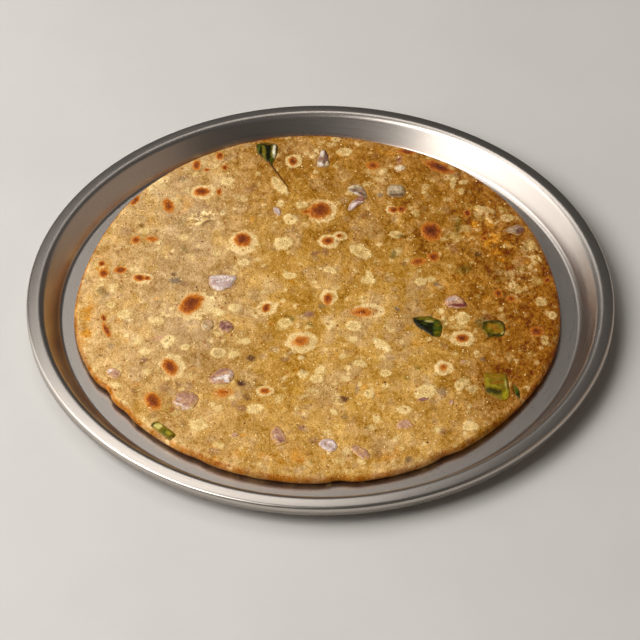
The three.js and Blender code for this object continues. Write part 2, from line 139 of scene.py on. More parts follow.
# Split lentils and pale dough: centre x, y, length, width, turn in degrees
PALE_SPOTS = (
    (-17.0, 39.2, 8.4, 8.2, 0), (-86.7, -7.3, 6.0, 5.2, 10), (-93.0, -1.4, 4.0, 4.0, 0),
    (-38.1, -2.5, 5.4, 5.0, 0), (-44.7, -31.7, 6.8, 6.2, 0), (-59.0, -28.2, 4.0, 4.0, 0),
    (-66.7, -24.4, 8.0, 5.4, 70), (-15.7, -12.6, 6.4, 5.8, 0), (4.0, 21.6, 6.4, 4.2, -25),
    (-13.7, 18.3, 6.0, 4.2, 0), (14.6, -14.6, 7.0, 6.4, 0), (27.1, -26.4, 10.0, 4.6, -50),
    (16.9, -37.6, 5.0, 4.2, 0), (21.2, -57.0, 5.2, 4.2, 90), (36.2, -66.5, 6.2, 4.8, 0),
    (60.3, -52.0, 5.2, 4.2, 90), (64.3, -76.0, 6.4, 5.8, 0), (45.5, -55.6, 10.0, 8.0, 60),
    (63.0, -8.6, 8.0, 5.6, 80), (44.9, 14.4, 5.2, 5.0, 0), (22.5, 17.0, 9.0, 3.0, -65),
    (-43.0, 81.8, 6.2, 5.0, 0), (-8.4, 65.3, 6.0, 4.2, 0),
    (-13.7, 55.6, 7.0, 6.0, 90), (10.7, 103.2, 7.0, 5.6, 0), (7.0, 112.0, 4.4, 3.4, 0),
    (84.7, 56.8, 6.4, 5.0, 0), (74.8, 62.7, 10.0, 4.0, -25), (98.0, 1.4, 6.0, 5.0, 90),
    (102.5, -7.3, 5.0, 4.0, 90), (98.5, -23.0, 6.0, 3.4, 90), (61.0, 81.0, 8.0, 2.4, 85),
    (64.6, 75.2, 4.2, 2.4, 80), (18.0, 34.0, 11.0, 7.0, -35), (-34.0, 27.0, 5.6, 4.0, 20),
    (-28.0, -66.0, 7.0, 5.6, 30), (-52.0, -76.0, 7.4, 6.0, -20), (34.0, 46.0, 6.0, 5.0, 0),
    (-75.0, 82.0, 6.4, 4.6, 40), (28.5, -44.0, 5.0, 4.4, 0), (-1.5, -47.0, 6.0, 5.0, 0),
    (-18.8, 78.6, 14.5, 5.0, -62),
)

# Coloured stains in the dough, and two painted shadows beside pieces set in it: centre x, y, length, width,
# turn in degrees, colour, strength
STAINS = (
    (-5.1, -7.0, 5.2, 5.0, 0, "mauve", 0.9), (-7.8, -77.3, 4.2, 4.0, 0, "mauve", 0.7),
    (-76.9, -36.5, 3.4, 3.2, 0, "mauve", 0.8), (-71.9, -22.8, 7.0, 3.0, 5, "pink", 0.7),
    (-2.5, 33.0, 4.0, 4.4, 0, "mauve", 0.5), (1.8, 33.0, 4.0, 4.0, 0, "mauve", 0.45),
    (-15.3, -35.0, 5.0, 3.6, 40, "mauve", 0.5), (36.3, 97.6, 10.0, 3.0, 85, "pink", 0.6),
    (27.0, 72.6, 4.0, 4.0, 0, "grey", 0.7), (51.8, 12.8, 3.4, 3.0, 0, "grey", 0.7),
    (70.9, -35.0, 3.2, 3.0, 0, "grey", 0.7), (53.0, -55.0, 6.0, 5.0, 90, "grey", 0.6),
    (15.9, -54.0, 9.0, 2.2, 85, "grey", 0.7), (-65.0, 14.6, 6.4, 4.6, 0, "grey", 0.8),
    (34.0, -3.7, 3.4, 2.4, -60, "grey", 0.9), (37.7, -96.1, 5.0, 3.4, 70, "grey", 0.7),
    (-96.7, 6.2, 8.0, 5.0, -75, "grey", 0.9), (62.3, 52.0, 13.0, 4.0, 85, "green", 0.6),
    (63.6, 22.5, 9.0, 6.4, 0, "green", 0.6), (33.0, 32.6, 7.0, 2.6, 80, "green", 0.7),
    (71.0, -12.0, 9.0, 6.0, 80, "green", 0.5), (54.4, -12.6, 8.0, 5.0, 80, "green", 0.45),
    (36.7, 44.9, 4.0, 2.4, 0, "green", 0.6), (-12.4, -10.0, 5.0, 2.4, -70, "green", 0.7),
    (-4.5, -13.6, 4.4, 3.2, -40, "green", 0.6), (42.2, -41.1, 3.0, 2.4, 0, "green", 0.8),
    (37.5, -47.0, 4.2, 3.2, 80, "green", 0.5), (-63.0, 55.0, 9.0, 4.0, 60, "green", 0.3),
    (-61.2, 35.5, 7.0, 3.4, -60, "green", 0.35), (-31.1, 55.5, 5.0, 2.4, 80, "orange", 0.7),
    (-3.2, 85.7, 4.4, 4.0, 0, "orange", 0.4), (3.4, 113.0, 4.0, 3.0, 0, "orange", 0.6),
    (13.6, -77.3, 3.0, 2.6, 0, "orange", 0.7), (19.2, -52.3, 3.2, 2.2, 70, "orange", 0.7),
    (4.5, -63.8, 3.2, 2.2, 70, "orange", 0.6), (-43.6, -96.4, 4.4, 4.0, 0, "orange", 0.8),
    (-25.2, -94.1, 4.2, 3.8, 0, "orange", 0.8), (-8.4, -97.0, 4.4, 2.4, 10, "rust", 0.8),
    (-10.0, -92.5, 10.0, 8.0, 70, "orange", 0.45), (28.8, -94.0, 5.4, 3.4, 20, "orange", 0.7),
    (-33.1, -82.0, 3.2, 3.0, 0, "orange", 0.6), (-63.4, -66.5, 3.4, 2.6, 70, "rust", 0.7),
    (85.0, 23.0, 4.0, 3.0, 20, "rust", 0.7), (79.0, 35.7, 2.6, 2.4, 0, "rust", 0.7),
    (42.6, -25.6, 8.0, 5.0, 10, "orange", 0.4), (-104.0, -7.0, 14.0, 4.4, 85, "orange", 0.6),
    (-102.0, -20.0, 12.0, 3.4, -80, "orange", 0.6), (-99.0, 22.0, 4.6, 3.4, 60, "orange", 0.8),
    (-13.0, 14.4, 4.0, 3.0, -50, "orange", 0.5), (26.0, 22.0, 8.0, 5.0, 20, "orange", 0.3),
    (75.0, 50.0, 30.0, 20.0, 60, "rust", 0.15), (60.0, 98.0, 16.0, 7.0, -35, "rust", 0.3),
    (-10.0, -55.0, 6.0, 5.0, 0, "yellow", 0.6), (37.0, -84.0, 6.4, 4.4, 0, "yellow", 0.6),
    (-20.4, 103.5, 5.0, 3.0, 80, "green", 0.4), (92.0, 42.0, 14.0, 4.0, -60, "rust", 0.15),
    (-34.1, -50.7, 6.4, 4.4, -50, "plum", 1.0), (-31.1, -58.2, 5.0, 3.8, 80, "plum", 0.9),
    (10.0, -60.2, 5.6, 4.4, 0, "plum", 0.9), (-30.2, -34.6, 5.4, 4.2, 70, "plum", 0.8),
    # The seed-coloured stain at 20, 71 is a painted shadow between the two onion curls
    (-65.6, 18.8, 3.4, 3.2, 0, "pit", 0.8), (20.0, 71.0, 5.0, 3.0, -40, "seed", 0.4),
    # The pit-coloured stain at 84, -54 is a painted shadow beside the chilli chunk
    (-49.0, -14.5, 9.0, 8.0, 0, "haze", 0.6), (84.0, -54.0, 4.0, 10.0, 0, "pit", 0.5),
    (71.2, 32.6, 4.2, 3.8, 0, "pit", 0.75), (70.5, 49.5, 5.0, 3.6, -30, "rust", 0.6),
    (76.2, 46.8, 5.0, 4.4, -40, "rust", 0.5), (79.7, 34.0, 7.0, 4.0, -50, "orange", 0.8),
    (81.4, 29.0, 5.0, 3.4, -50, "orange", 0.7), (95.0, 38.0, 7.0, 6.0, -60, "crumb", 0.7),
    (97.0, 29.0, 6.4, 5.0, 80, "crumb", 0.7), (96.5, 15.0, 6.4, 5.4, 0, "crumb", 0.65),
    (88.4, 10.4, 9.0, 6.4, 20, "crumb", 0.6), (61.5, 44.0, 7.0, 7.0, 0, "crumb", 0.5),
    (84.5, 38.0, 5.4, 4.4, 0, "crumb", 0.5), (90.0, 23.0, 6.0, 5.0, 40, "crumb", 0.5),
    (69.0, 65.0, 7.4, 5.4, -20, "crumb", 0.6), (74.0, 56.5, 8.0, 5.4, 0, "crumb", 0.6),
    (83.0, 63.0, 6.4, 4.4, -40, "crumb", 0.6), (92.0, -32.0, 6.0, 5.0, 60, "crumb", 0.4),
    (54.0, 62.0, 8.0, 5.0, 20, "crumb", 0.35), (44.0, 60.0, 6.0, 5.0, 60, "crumb", 0.3),
)

# Flecks scattered over the dough by rule: how many, least and greatest length in mm, colour, strength
FLECKS = (
    (150, 2.6, 6.2, "lentil", 0.95), (70, 1.8, 4.2, "orange", 0.6), (60, 2.6, 7.0, "haze", 0.6),
    (110, 1.4, 3.2, "pit", 0.5), (110, 2.0, 6.0, "mauve", 0.5), (60, 1.6, 4.0, "grey", 0.5),
)
FLECK_SLIMNESS = (0.5, 1.0)
FLECK_SEED = 41

# Stretches where the dough is spiced orange: centre x, y, length, width, turn in degrees, strength
SPICED = (
    (76, 46, 44, 20, 118, 1.0), (58, 97, 24, 9, -32, 0.7), (34, 102, 18, 7, -12, 0.5),
    (-103, -12, 34, 10, 88, 1.0), (-98, 24, 16, 8, 60, 0.7), (92, 6, 26, 16, 90, 0.4),
    (-62, 66, 22, 9, 60, 0.4), (-60, 92, 18, 8, 40, 0.4), (-12, -95, 30, 12, 10, 0.5),
    (62, 14, 30, 20, 0, 0.25), (-40, -92, 26, 9, -18, 0.45), (30, -93, 24, 10, 18, 0.4),
)

# Stretches of broken cream strands with dark gaps: centre x, y, length, width, turn in degrees, strength
LACE = (
    (-54.6, 56.6, 16, 11, 35, 1.0), (74, 58, 20, 9, -25, 0.5), (89, 12, 22, 12, 60, 0.45),
    (95, 34, 16, 9, -65, 0.5), (-66.7, -24.4, 9, 5, 70, 0.6), (27, -27, 12, 6, -50, 0.6),
)

# Onion, leaf and chilli set into the top, one node of the model each: kind, main colour, the corners
# that the outline curves through, and daubs: centre x, y, length, width, turn, colour, strength
TOPPINGS = {
    # The white daubs along this piece's rim are painted highlights
    "onion_left": (
        "onion", "onion_lilac",
        ((-49.9, 16.6), (-49.4, 11.8), (-45.7, 8.6), (-40.3, 10.8), (-37.6, 16.0), (-38.8, 18.9),
         (-48.3, 18.7)),
        ((-40.4, 15.6, 4.0, 3.0, 40, "onion_white_and_highlight", 0.6), (-44.6, 17.4, 8.0, 2.0, 2, "onion_white_and_highlight", 0.6),
         (-47.8, 12.6, 5.0, 2.4, 40, "onion_mauve", 0.5), (-41.6, 13.4, 4.4, 2.0, 60, "onion_mauve", 0.4),
         (-45.6, 10.0, 6.0, 1.8, -20, "onion_white_and_highlight", 0.7), (-44.8, 14.4, 5.0, 1.4, 25, "onion_white_and_highlight", 0.6)),
    ),
    "onion_mid": (
        "soaked", "onion_mauve",
        ((-45.0, -15.4), (-43.5, -18.6), (-39.9, -18.6), (-37.9, -14.9), (-40.6, -11.0), (-43.9, -11.2)),
        ((-42.8, -12.8, 5.0, 1.2, 40, "onion_purple", 0.7),
         (-40.6, -15.6, 5.4, 1.2, -40, "onion_purple", 0.7),
         (-43.4, -16.4, 3.4, 1.4, 30, "onion_purple", 0.5), (-40.4, -13.6, 3.0, 1.2, 20, "onion_warm", 0.7),
         (-42.0, -17.6, 4.0, 1.4, 0, "onion_warm", 0.6)),
    ),
    "onion_pale": (
        "soaked", "haze",
        ((-52.6, -13.3), (-51.5, -17.6), (-48.6, -17.8), (-47.0, -14.4), (-47.6, -10.9), (-50.8, -10.2)),
        ((-50.8, -15.0, 3.0, 3.6, 0, "onion_cream", 0.7), (-48.2, -12.2, 3.0, 3.0, 0, "onion_warm", 0.5)),
    ),
    # The white daubs across this piece are painted highlights
    "onion_fold": (
        "onion", "onion_warm",
        ((-48.3, -48.2), (-46.2, -51.0), (-39.8, -50.4), (-37.2, -45.5), (-39.2, -41.3), (-44.3, -42.0)),
        ((-43.6, -43.8, 9.0, 2.2, 26, "onion_mauve", 0.8), (-47.2, -47.4, 3.0, 2.4, 30, "onion_mauve", 0.8),
         (-42.0, -47.4, 8.4, 2.4, 16, "onion_white_and_highlight", 0.95), (-40.2, -49.2, 4.0, 1.8, 0, "onion_white_and_highlight", 0.9),
         (-38.6, -44.6, 2.4, 3.4, 0, "onion_lilac", 0.8), (-45.4, -49.4, 3.0, 1.4, -20, "onion_lilac", 0.6)),
    ),
    "onion_rough": (
        "soaked", "onion_warm",
        ((-63.8, -61.4), (-62.2, -65.1), (-58.2, -67.3), (-54.6, -65.8), (-52.4, -59.8), (-55.7, -55.8),
         (-61.5, -56.3)),
        ((-57.6, -58.6, 10.0, 3.4, -8, "onion_mauve", 0.55), (-54.4, -62.0, 4.0, 3.0, 60, "onion_mauve", 0.5),
         (-60.6, -63.6, 5.0, 1.4, -30, "onion_white_and_highlight", 0.8), (-57.0, -65.8, 5.0, 1.4, 10, "onion_white_and_highlight", 0.7),
         (-57.8, -63.6, 3.4, 1.6, 10, "onion_mauve", 0.7), (-61.6, -60.2, 2.8, 2.0, 0, "onion_lilac", 0.7)),
    ),
    "onion_back": (
        "onion", "onion_grey",
        ((-1.8, 95.4), (-0.9, 92.1), (3.4, 92.8), (3.8, 96.4), (3.1, 101.8), (1.4, 104.9), (-0.2, 102.8)),
        ((2.6, 100.4, 9.0, 2.2, 88, "onion_purple", 0.9), (0.6, 101.6, 4.4, 2.0, 84, "onion_white_and_highlight", 0.75),
         (0.2, 97.4, 4.0, 3.0, 0, "onion_mauve", 0.9), (-0.2, 93.8, 3.0, 3.0, 0, "onion_white_and_highlight", 0.9),
         (3.0, 94.6, 2.2, 2.6, 0, "onion_cream", 0.8), (1.5, 95.2, 1.6, 3.8, 0, "onion_purple", 0.8)),
    ),
    "onion_curl_far": (
        "onion", "onion_grey",
        ((12.4, 78.0), (13.1, 74.7), (16.4, 72.6), (20.4, 70.4), (21.3, 73.0), (19.3, 78.4), (16.0, 80.0)),
        ((13.8, 77.8, 3.4, 2.6, 30, "onion_cream", 0.9), (17.4, 78.4, 3.4, 1.6, -20, "onion_cream", 0.6),
         (15.6, 75.4, 3.6, 2.2, 0, "onion_purple", 0.6), (18.8, 72.8, 5.0, 2.0, -40, "onion_purple", 0.85),
         (19.0, 75.6, 3.0, 2.2, 60, "onion_mauve", 0.7), (16.4, 73.6, 2.4, 1.2, -30, "onion_white_and_highlight", 0.5)),
    ),
    "onion_curl_near": (
        "soaked", "onion_lilac",
        ((12.4, 63.6), (13.5, 61.5), (18.5, 66.3), (20.2, 68.6), (15.4, 69.6)),
        ((15.0, 65.2, 4.0, 1.6, 50, "onion_white_and_highlight", 0.8), (18.4, 68.2, 2.6, 1.6, 30, "onion_white_and_highlight", 0.6),
         (16.2, 68.4, 3.8, 1.8, 20, "onion_mauve", 0.9), (17.0, 65.4, 4.0, 1.4, 48, "onion_mauve", 0.8),
         (14.4, 67.2, 2.0, 2.0, 0, "onion_grey", 0.6)),
    ),
    # The dark pit-coloured daub along this piece's lower side is a painted shadow
    "onion_round": (
        "onion", "onion_grey",
        ((30.3, 75.9), (31.5, 71.9), (37.3, 71.7), (39.3, 75.9), (37.3, 79.6), (31.9, 79.6)),
        ((33.6, 77.0, 6.0, 3.6, 0, "onion_cream", 0.5), (34.6, 72.6, 8.0, 1.8, 2, "pit", 0.8),
         (38.2, 76.0, 1.6, 5.0, 0, "chilli_tan", 0.6)),
    ),
    "onion_right": (
        "soaked", "onion_grey",
        ((82.4, 48.3), (86.4, 46.2), (90.0, 44.8), (92.8, 48.0), (91.6, 51.6), (88.9, 52.3)),
        ((91.0, 47.6, 5.0, 4.4, 0, "onion_purple", 0.95), (85.6, 48.6, 6.0, 2.0, 20, "onion_warm", 0.5),
         (88.8, 50.4, 5.0, 1.4, 30, "onion_mauve", 0.8), (89.6, 46.4, 3.0, 1.4, -20, "crimson", 0.6)),
    ),
    "onion_purple": (
        "onion", "onion_warm",
        ((55.1, 2.7), (57.3, -2.0), (64.2, -2.0), (64.7, 1.2), (60.2, 6.2)),
        ((61.2, -0.8, 9.0, 2.2, -3, "crimson", 0.95), (64.0, 0.4, 2.4, 3.0, 0, "crimson", 0.8),
         (58.4, 2.8, 5.0, 3.0, 20, "onion_lilac", 0.8), (60.8, 3.4, 2.4, 2.0, 0, "onion_cream", 0.6)),
    ),
    "onion_front_left": (
        "soaked", "onion_warm",
        ((-21.2, -79.7), (-20.3, -85.0), (-17.4, -87.9), (-14.2, -86.0), (-16.3, -78.1), (-18.9, -76.0)),
        ((-16.8, -84.4, 5.0, 2.4, -60, "onion_mauve", 0.9), (-18.4, -79.6, 4.0, 2.4, -70, "onion_mauve", 0.6),
         (-16.0, -86.0, 2.4, 1.6, 0, "onion_purple", 0.6), (-19.0, -82.6, 2.4, 2.0, 0, "onion_lilac", 0.6)),
    ),
    "onion_front_mid": (
        "onion", "onion_lilac",
        ((-0.5, -87.1), (1.6, -89.8), (5.2, -91.4), (7.5, -88.2), (5.2, -83.6), (0.9, -84.0)),
        ((3.6, -87.0, 4.4, 2.6, -20, "onion_warm", 0.35), (4.6, -86.4, 3.0, 1.8, -20, "onion_white_and_highlight", 0.6),
         (6.4, -87.8, 1.6, 4.0, 20, "onion_white_and_highlight", 0.7), (3.0, -90.0, 4.4, 1.4, -30, "onion_white_and_highlight", 0.4)),
    ),
    "onion_front_right": (
        "soaked", "onion_warm",
        ((12.8, -88.0), (13.9, -91.1), (17.9, -95.1), (20.8, -95.1), (20.4, -90.6), (15.3, -86.9)),
        ((14.4, -87.8, 4.0, 1.6, 10, "onion_mauve", 0.7), (19.6, -91.6, 1.6, 6.0, 10, "onion_mauve", 0.6),
         (17.2, -94.0, 5.0, 1.2, -45, "onion_mauve", 0.6), (17.0, -91.0, 3.4, 2.4, -40, "dough", 0.5)),
    ),
    "onion_edge": (
        "soaked", "onion_warm",
        ((-93.0, -43.0), (-91.7, -46.7), (-87.5, -47.4), (-86.4, -44.2), (-90.0, -40.8)),
        ((-91.4, -43.0, 3.0, 2.0, 40, "onion_white_and_highlight", 0.7), (-88.6, -45.0, 3.0, 2.4, 0, "onion_mauve", 0.4)),
    ),
    # The white stripe down this leaf's right side is a painted highlight
    "leaf_back": (
        "leaf", "leaf_dark",
        ((-29.9, 107.6), (-29.5, 102.3), (-27.4, 98.6), (-22.7, 92.7), (-21.9, 95.4), (-20.2, 101.0),
         (-20.4, 107.4), (-25.5, 109.0)),
        ((-26.4, 101.6, 12.0, 2.0, 94, "leaf_olive", 0.8), (-22.2, 101.4, 12.0, 2.4, 90, "leaf_olive", 0.7),
         (-21.6, 103.0, 9.0, 1.6, 90, "leaf_highlight", 0.95), (-28.9, 104.4, 7.0, 1.6, 84, "leaf_green", 0.8),
         (-22.8, 95.4, 5.0, 2.2, 100, "leaf_green", 0.9), (-24.0, 108.0, 5.0, 2.4, 10, "chilli_tan", 0.6)),
    ),
    "leaf_front": (
        "leaf", "leaf_dark",
        ((40.5, -8.7), (42.6, -14.2), (49.0, -20.2), (52.6, -20.7), (53.7, -14.8), (52.6, -9.9),
         (47.7, -7.7)),
        ((47.4, -9.6, 11.0, 2.8, -4, "leaf_olive", 0.8), (47.8, -11.4, 5.0, 1.4, -6, "chilli_pale_and_highlight", 0.5),
         (52.0, -15.0, 11.0, 5.0, 84, "leaf_green", 0.95), (51.8, -13.6, 3.0, 2.4, 40, "chilli_olive", 0.5),
         (51.4, -18.6, 3.6, 2.2, 40, "leaf_olive", 0.8), (45.8, -12.8, 3.0, 1.6, -30, "leaf_green", 0.5)),
    ),
    "chilli_ring": (
        "ring", "chilli_dark",
        ((71.2, -15.3), (73.7, -20.6), (80.1, -20.2), (81.5, -15.3), (80.1, -10.4), (72.5, -10.6)),
        ((76.9, -15.4, 8.4, 8.0, 0, "chilli_olive", 1.0), (75.4, -13.4, 4.6, 3.6, 20, "chilli_tan", 0.9),
         (78.4, -17.0, 4.4, 3.4, 30, "chilli_tan", 0.8), (77.0, -14.8, 3.6, 2.6, 70, "dough_oiled", 0.8),
         (80.2, -18.4, 2.6, 1.2, 50, "chilli_pale_and_highlight", 0.5), (73.0, -17.4, 2.4, 4.0, 20, "chilli_olive", 0.8)),
    ),
    # The thin pale stripe along this chunk's right side is a painted highlight
    "chilli_chunk": (
        "chunk", "chilli_olive",
        ((71.4, -43.8), (71.6, -55.1), (79.1, -60.4), (82.0, -56.9), (80.8, -44.2)),
        ((76.0, -45.8, 9.0, 4.0, 0, "chilli_tan", 0.8), (76.6, -49.6, 7.0, 2.6, 14, "dough_oiled", 0.7),
         (75.4, -52.0, 6.0, 1.6, -14, "chilli_bright", 0.5),
         (75.0, -54.8, 9.0, 3.4, -20, "chilli_dark", 0.95),
         (80.4, -57.0, 3.4, 6.4, -10, "chilli_bright", 0.9), (80.4, -50.4, 1.2, 7.0, 4, "chilli_pale_and_highlight", 0.6),
         (72.6, -49.0, 2.0, 5.0, 0, "chilli_bright", 0.4)),
    ),
    "chilli_sliver": (
        "chunk", "leaf_green",
        ((83.9, -50.4), (84.2, -55.4), (86.0, -59.2), (86.1, -54.0)),
        ((85.6, -57.0, 3.4, 1.4, -70, "leaf_dark", 0.9), (84.6, -52.4, 3.0, 1.0, -80, "chilli_olive", 0.7)),
    ),
    "chilli_edge": (
        "chunk", "chilli_olive",
        ((-72.6, -76.2), (-64.2, -84.6), (-61.6, -81.4), (-69.6, -73.4)),
        ((-71.8, -75.4, 2.4, 4.4, 40, "chilli_dark", 0.95), (-69.2, -77.0, 4.0, 3.4, 48, "chilli_pale_and_highlight", 0.85),
         (-66.4, -80.4, 3.0, 3.6, 44, "leaf_green", 0.7), (-64.8, -81.0, 3.0, 2.0, -46, "chilli_bright", 0.7),
         (-63.2, -83.4, 3.4, 2.0, 30, "chilli_dark", 0.6)),
    ),
}
TOPPING_SUNK = 1.4
TOPPING_RINGS = 16
CORNER_STEPS = 9
ROOT_SHARE = 0.93

# How far each kind's outline curves through its corners: 0 leaves them sharp, 0.5 rounds them fully
ROUNDNESS = {"onion": 0.5, "soaked": 0.5, "leaf": 0.3, "ring": 0.4, "chunk": 0.2}

# Each kind's face, in mm: height over the dough, height of its lumps, how deep its rim lies, roughness
FACES = {
    "onion": (0.44, 0.3, 0.05, 0.06), "soaked": (0.3, 0.3, 0.05, 0.12),
    "leaf": (0.5, 0.25, 0.02, 0.06), "chunk": (0.48, 0.12, 0.06, 0.06),
}

# The chilli ring's face, in mm: height of its wall, depth of its hollow, how deep its rim lies, roughness
RING_FACE = (0.38, 0.36, 0.08, 0.06)

# How each kind's colour runs into the dough's at its rim: where it starts, how it wavers, how far it goes
RUN_INTO_DOUGH = {"onion": (0.84, 0.2, 0.75), "soaked": (0.6, 0.4, 0.9)}
RUN_OF_OTHERS = (0.9, 0.1, 0.75)

# Relief of the dough, in mm: its unevenness, fine and broad, crumbs, pale spots, dents near the edge and
# unevenness of its side; then how deep the beds of what is set in are, and of what is soaked
FINE_RELIEF = 0.1
BROAD_RELIEF = 0.12
CRUMB_RELIEF = 0.16
PALE_RELIEF = 0.16
EDGE_DENTS = 0.25
SIDE_RELIEF = 0.16
BED = 0.6
SOAKED_BED = 0.4

# Blisters: the share of its bubble's height that shows, how far char reaches past a core, how fast it fades
BUBBLE_SHARE = 0.7
CHAR_REACH = 1.4
CHAR_FADE = 1.22

# Mottling of the dough: size of each kind in mm
GRAIN = {
    "clouds": 17.0, "haze": 13.0, "glint_beds": 11.0, "warmth": 9.0, "patches": 6.5, "flakes": 4.6,
    "spice": 4.2, "specks": 4.2, "lumps": 2.8, "weave": 2.6, "granules": 2.1, "pits": 1.6, "grit": 1.3,
    "glints": 1.2, "crumbs": 1.15, "fine": 0.6,
}

# How far each kind of mottling makes the dough lighter and darker: clouds and patches are its own tone, while
# lumps, grit and the fine grain are partly its own speckle and partly painted highlight and painted shade on
# its grain
SHADING = {"clouds": 0.8, "patches": 1.0, "lumps": 0.65, "oiled_lumps": 0.5, "grit": 0.35, "fine": 1.1}

# How far rings, pits, glints and specks cover the dough with their own colour; the pits' dark is painted
# shade in small hollows, and the glints are painted highlights in a pale cream
COVER = {"halo": 0.85, "pits": 0.7, "glints": 0.55, "specks": 0.7}

# A colour made lighter: how much of its red goes to green and of its green to blue, and the limits kept
PALER = (0.17, 0.34)
LEAST_LIGHT = 0.2
DARKEST = (0.004, 0.003, 0.001)

# Steel: size of its turned marks and its grain in mm, how far the marks drift, and their linear colour
MARK_SIZE = 0.35
STEEL_GRAIN = 0.5
MARK_DRIFT = 0.03
STEEL_MARK = (0.45, 0.42, 0.39, 1)

# What oil does to a blister's colours, as linear values
OILED_CRUST = (0.5, 0.4, 0.24, 1)

# Onion scraps too small to be nodes: centre x, y, length, width, turn in degrees, colour
ONION_SCRAPS = (
    (36.3, -75.4, 8.6, 6.4, 20, "onion_warm"), (56.4, -61.9, 4.0, 2.5, 80, "onion_warm"),
    (-36.4, -82.0, 4.0, 3.0, 10, "onion_warm"), (-19.9, 60.7, 6.6, 3.6, 110, "onion_lilac"),
    (36.3, 91.7, 6.0, 5.0, 0, "onion_cream"), (44.5, -60.0, 8.0, 2.4, 20, "onion_mauve"),
    (62.3, -37.0, 3.2, 2.2, 0, "onion_warm"), (18.2, 69.8, 5.4, 3.6, 60, "onion_mauve"),
)

SCRAP_CORNERS = 7
SCRAP_SEED = 200.0

# The stalk of the leaf at the back: points along it, and its radius at the leaf and at its tip
STALK = ((-24.6, 96.8), (-21.6, 90.2), (-18.3, 84.0), (-15.4, 78.6), (-14.6, 72.5))
STALK_RADII = (0.5, 0.1)
STALK_STEPS = 40
STALK_SIDES = 8

# Grains strewn over the top: least distance apart, smallest and largest in mm, how many at most for each
# square metre, shape, seed; and their material: name, two colours, roughness
STREWN = {
    "flour_grains": (
        0.8, 0.35, 1.1, 6e4, (1.0, 0.75, 0.35), 11, ("flour_grain", "flour_and_glint", "lentil", 0.6)
    ),
    "dark_seeds": (13, 0.6, 1.3, 1e3, (1.0, 0.7, 0.6), 23, ("toasted_seed", "seed", "brown", 0.45)),
}
GRAIN_FACETS = 2

# Camera: focal length in picture widths, angles in degrees, and how far across, down and away from it
# the middle of the rim lies, in mm
CAMERA_FOCUS = 3500 / 640
CAMERA_ELEVATION = 43.68
CAMERA_ROLL = -0.179
CAMERA_AIM = (0.172, -11.63, 1548.9)
SENSOR_WIDTH = 36
RIM_TOP = 11.3

# Softboxes: place and size in metres, power in watts, colour
SOFTBOXES = {
    "key_softbox": ((-1.03, 0.03, 0.42), (1.24, 1.0), 6.3, "white_light"),
    "upper_softbox": ((-0.7, -0.1, 0.8), (0.9, 0.4), 1.6, "white_light"),
    "right_softbox": ((1.0, 0.1, 0.42), (1.4, 0.9), 1.2, "warm_light"),
    "back_softbox": ((-0.34, 0.66, 1.2), (0.8, 0.5), 3.0, "white_light"),
    "top_softbox": ((-0.96, -0.38, 1.22), (1.2, 1.1), 18.8, "white_light"),
}

# Light from all round, and a wide floor just under the plate, with faint darker clouds
WORLD_COLOUR = (0.3, 0.29, 0.28, 1)
WORLD_STRENGTH = 0.2
FLOOR_HALF = 3000
FLOOR_GAP = 0.02
FLOOR_CLOUDS = 60.0
FLOOR_SHADE = (0.5, 0.5, 0.5, 1)

# Colours, as they look on screen, from 0 to 255
COLOURS = {
    "dough": (199, 149, 65),
    "dough_oiled": (153, 93, 2),
    "dough_dry": (206, 170, 122),
    "dough_pale": (234, 188, 118),
    "crumb": (214, 174, 98),
    "edge": (184, 108, 10),
    # Browned dough and painted shade, at the foot of the side
    "underside_brown_and_shade": (92, 48, 8),
    "plum": (84, 42, 32),
    "haze": (192, 156, 110),
    # Flour on the dough, and the colour of the painted glints
    "flour_and_glint": (252, 218, 152),
    "lentil": (250, 218, 148),
    "pit": (86, 50, 14),
    "toasted": (228, 156, 72),
    "toast": (208, 120, 32),
    "brown": (146, 70, 26),
    "char": (82, 34, 12),
    "mauve": (140, 96, 82),
    "pink": (202, 146, 118),
    "grey": (124, 106, 86),
    "green": (92, 86, 22),
    "orange": (222, 150, 44),
    "rust": (160, 82, 16),
    "yellow": (222, 170, 72),
    "crimson": (116, 38, 36),
    # Partly the onions' white flesh, partly painted highlights on their wet faces
    "onion_white_and_highlight": (248, 232, 220),
    "onion_lilac": (206, 180, 170),
    "onion_cream": (232, 206, 166),
    "onion_warm": (202, 154, 120),
    "onion_grey": (168, 146, 112),
    "onion_mauve": (158, 108, 94),
    "onion_purple": (104, 60, 56),
    "leaf_dark": (24, 26, 2),
    "leaf_green": (72, 84, 12),
    "leaf_olive": (126, 114, 24),
    # Painted highlight on the leaf
    "leaf_highlight": (246, 236, 200),
    "chilli_dark": (54, 50, 2),
    "chilli_olive": (124, 104, 8),
    "chilli_tan": (152, 110, 18),
    "chilli_bright": (176, 160, 30),
    # Pale chilli flesh, and painted highlights on the chilli
    "chilli_pale_and_highlight": (234, 218, 124),
    "seed": (44, 28, 20),
    "steel": (196, 188, 180),
    "floor": (214, 212, 208),
    "warm_light": (255, 226, 200),
    "white_light": (255, 252, 248),
}


def linear(name):
    """A named colour as the renderer's linear values."""
    return tuple(((c / 255 + 0.055) / 1.055) ** 2.4 for c in COLOURS[name]) + (1.0,)


# Noise and soft shapes on the flatbread's plan, all with x and y as arrays in mm


def smooth(low, high, value):
    t = np.clip((value - low) / (high - low), 0, 1)
    return t * t * (3 - 2 * t)


def ripple(x, y, size, seed, octaves=3):
    """Soft noise, from about -1 to 1, with its largest bumps as wide as size."""
    return np.array([
        noise.fractal(Vector((a, b, seed)), 1.0, 2.0, octaves) for a, b in zip(x / size, y / size)
    ])


def cells(x, y, size, seed):
    """Distance to the nearest of a field of scattered points, in steps of size."""
    return np.array([
        noise.voronoi(Vector((a, b, seed)))[0][0] for a, b in zip(x / size, y / size)
    ])


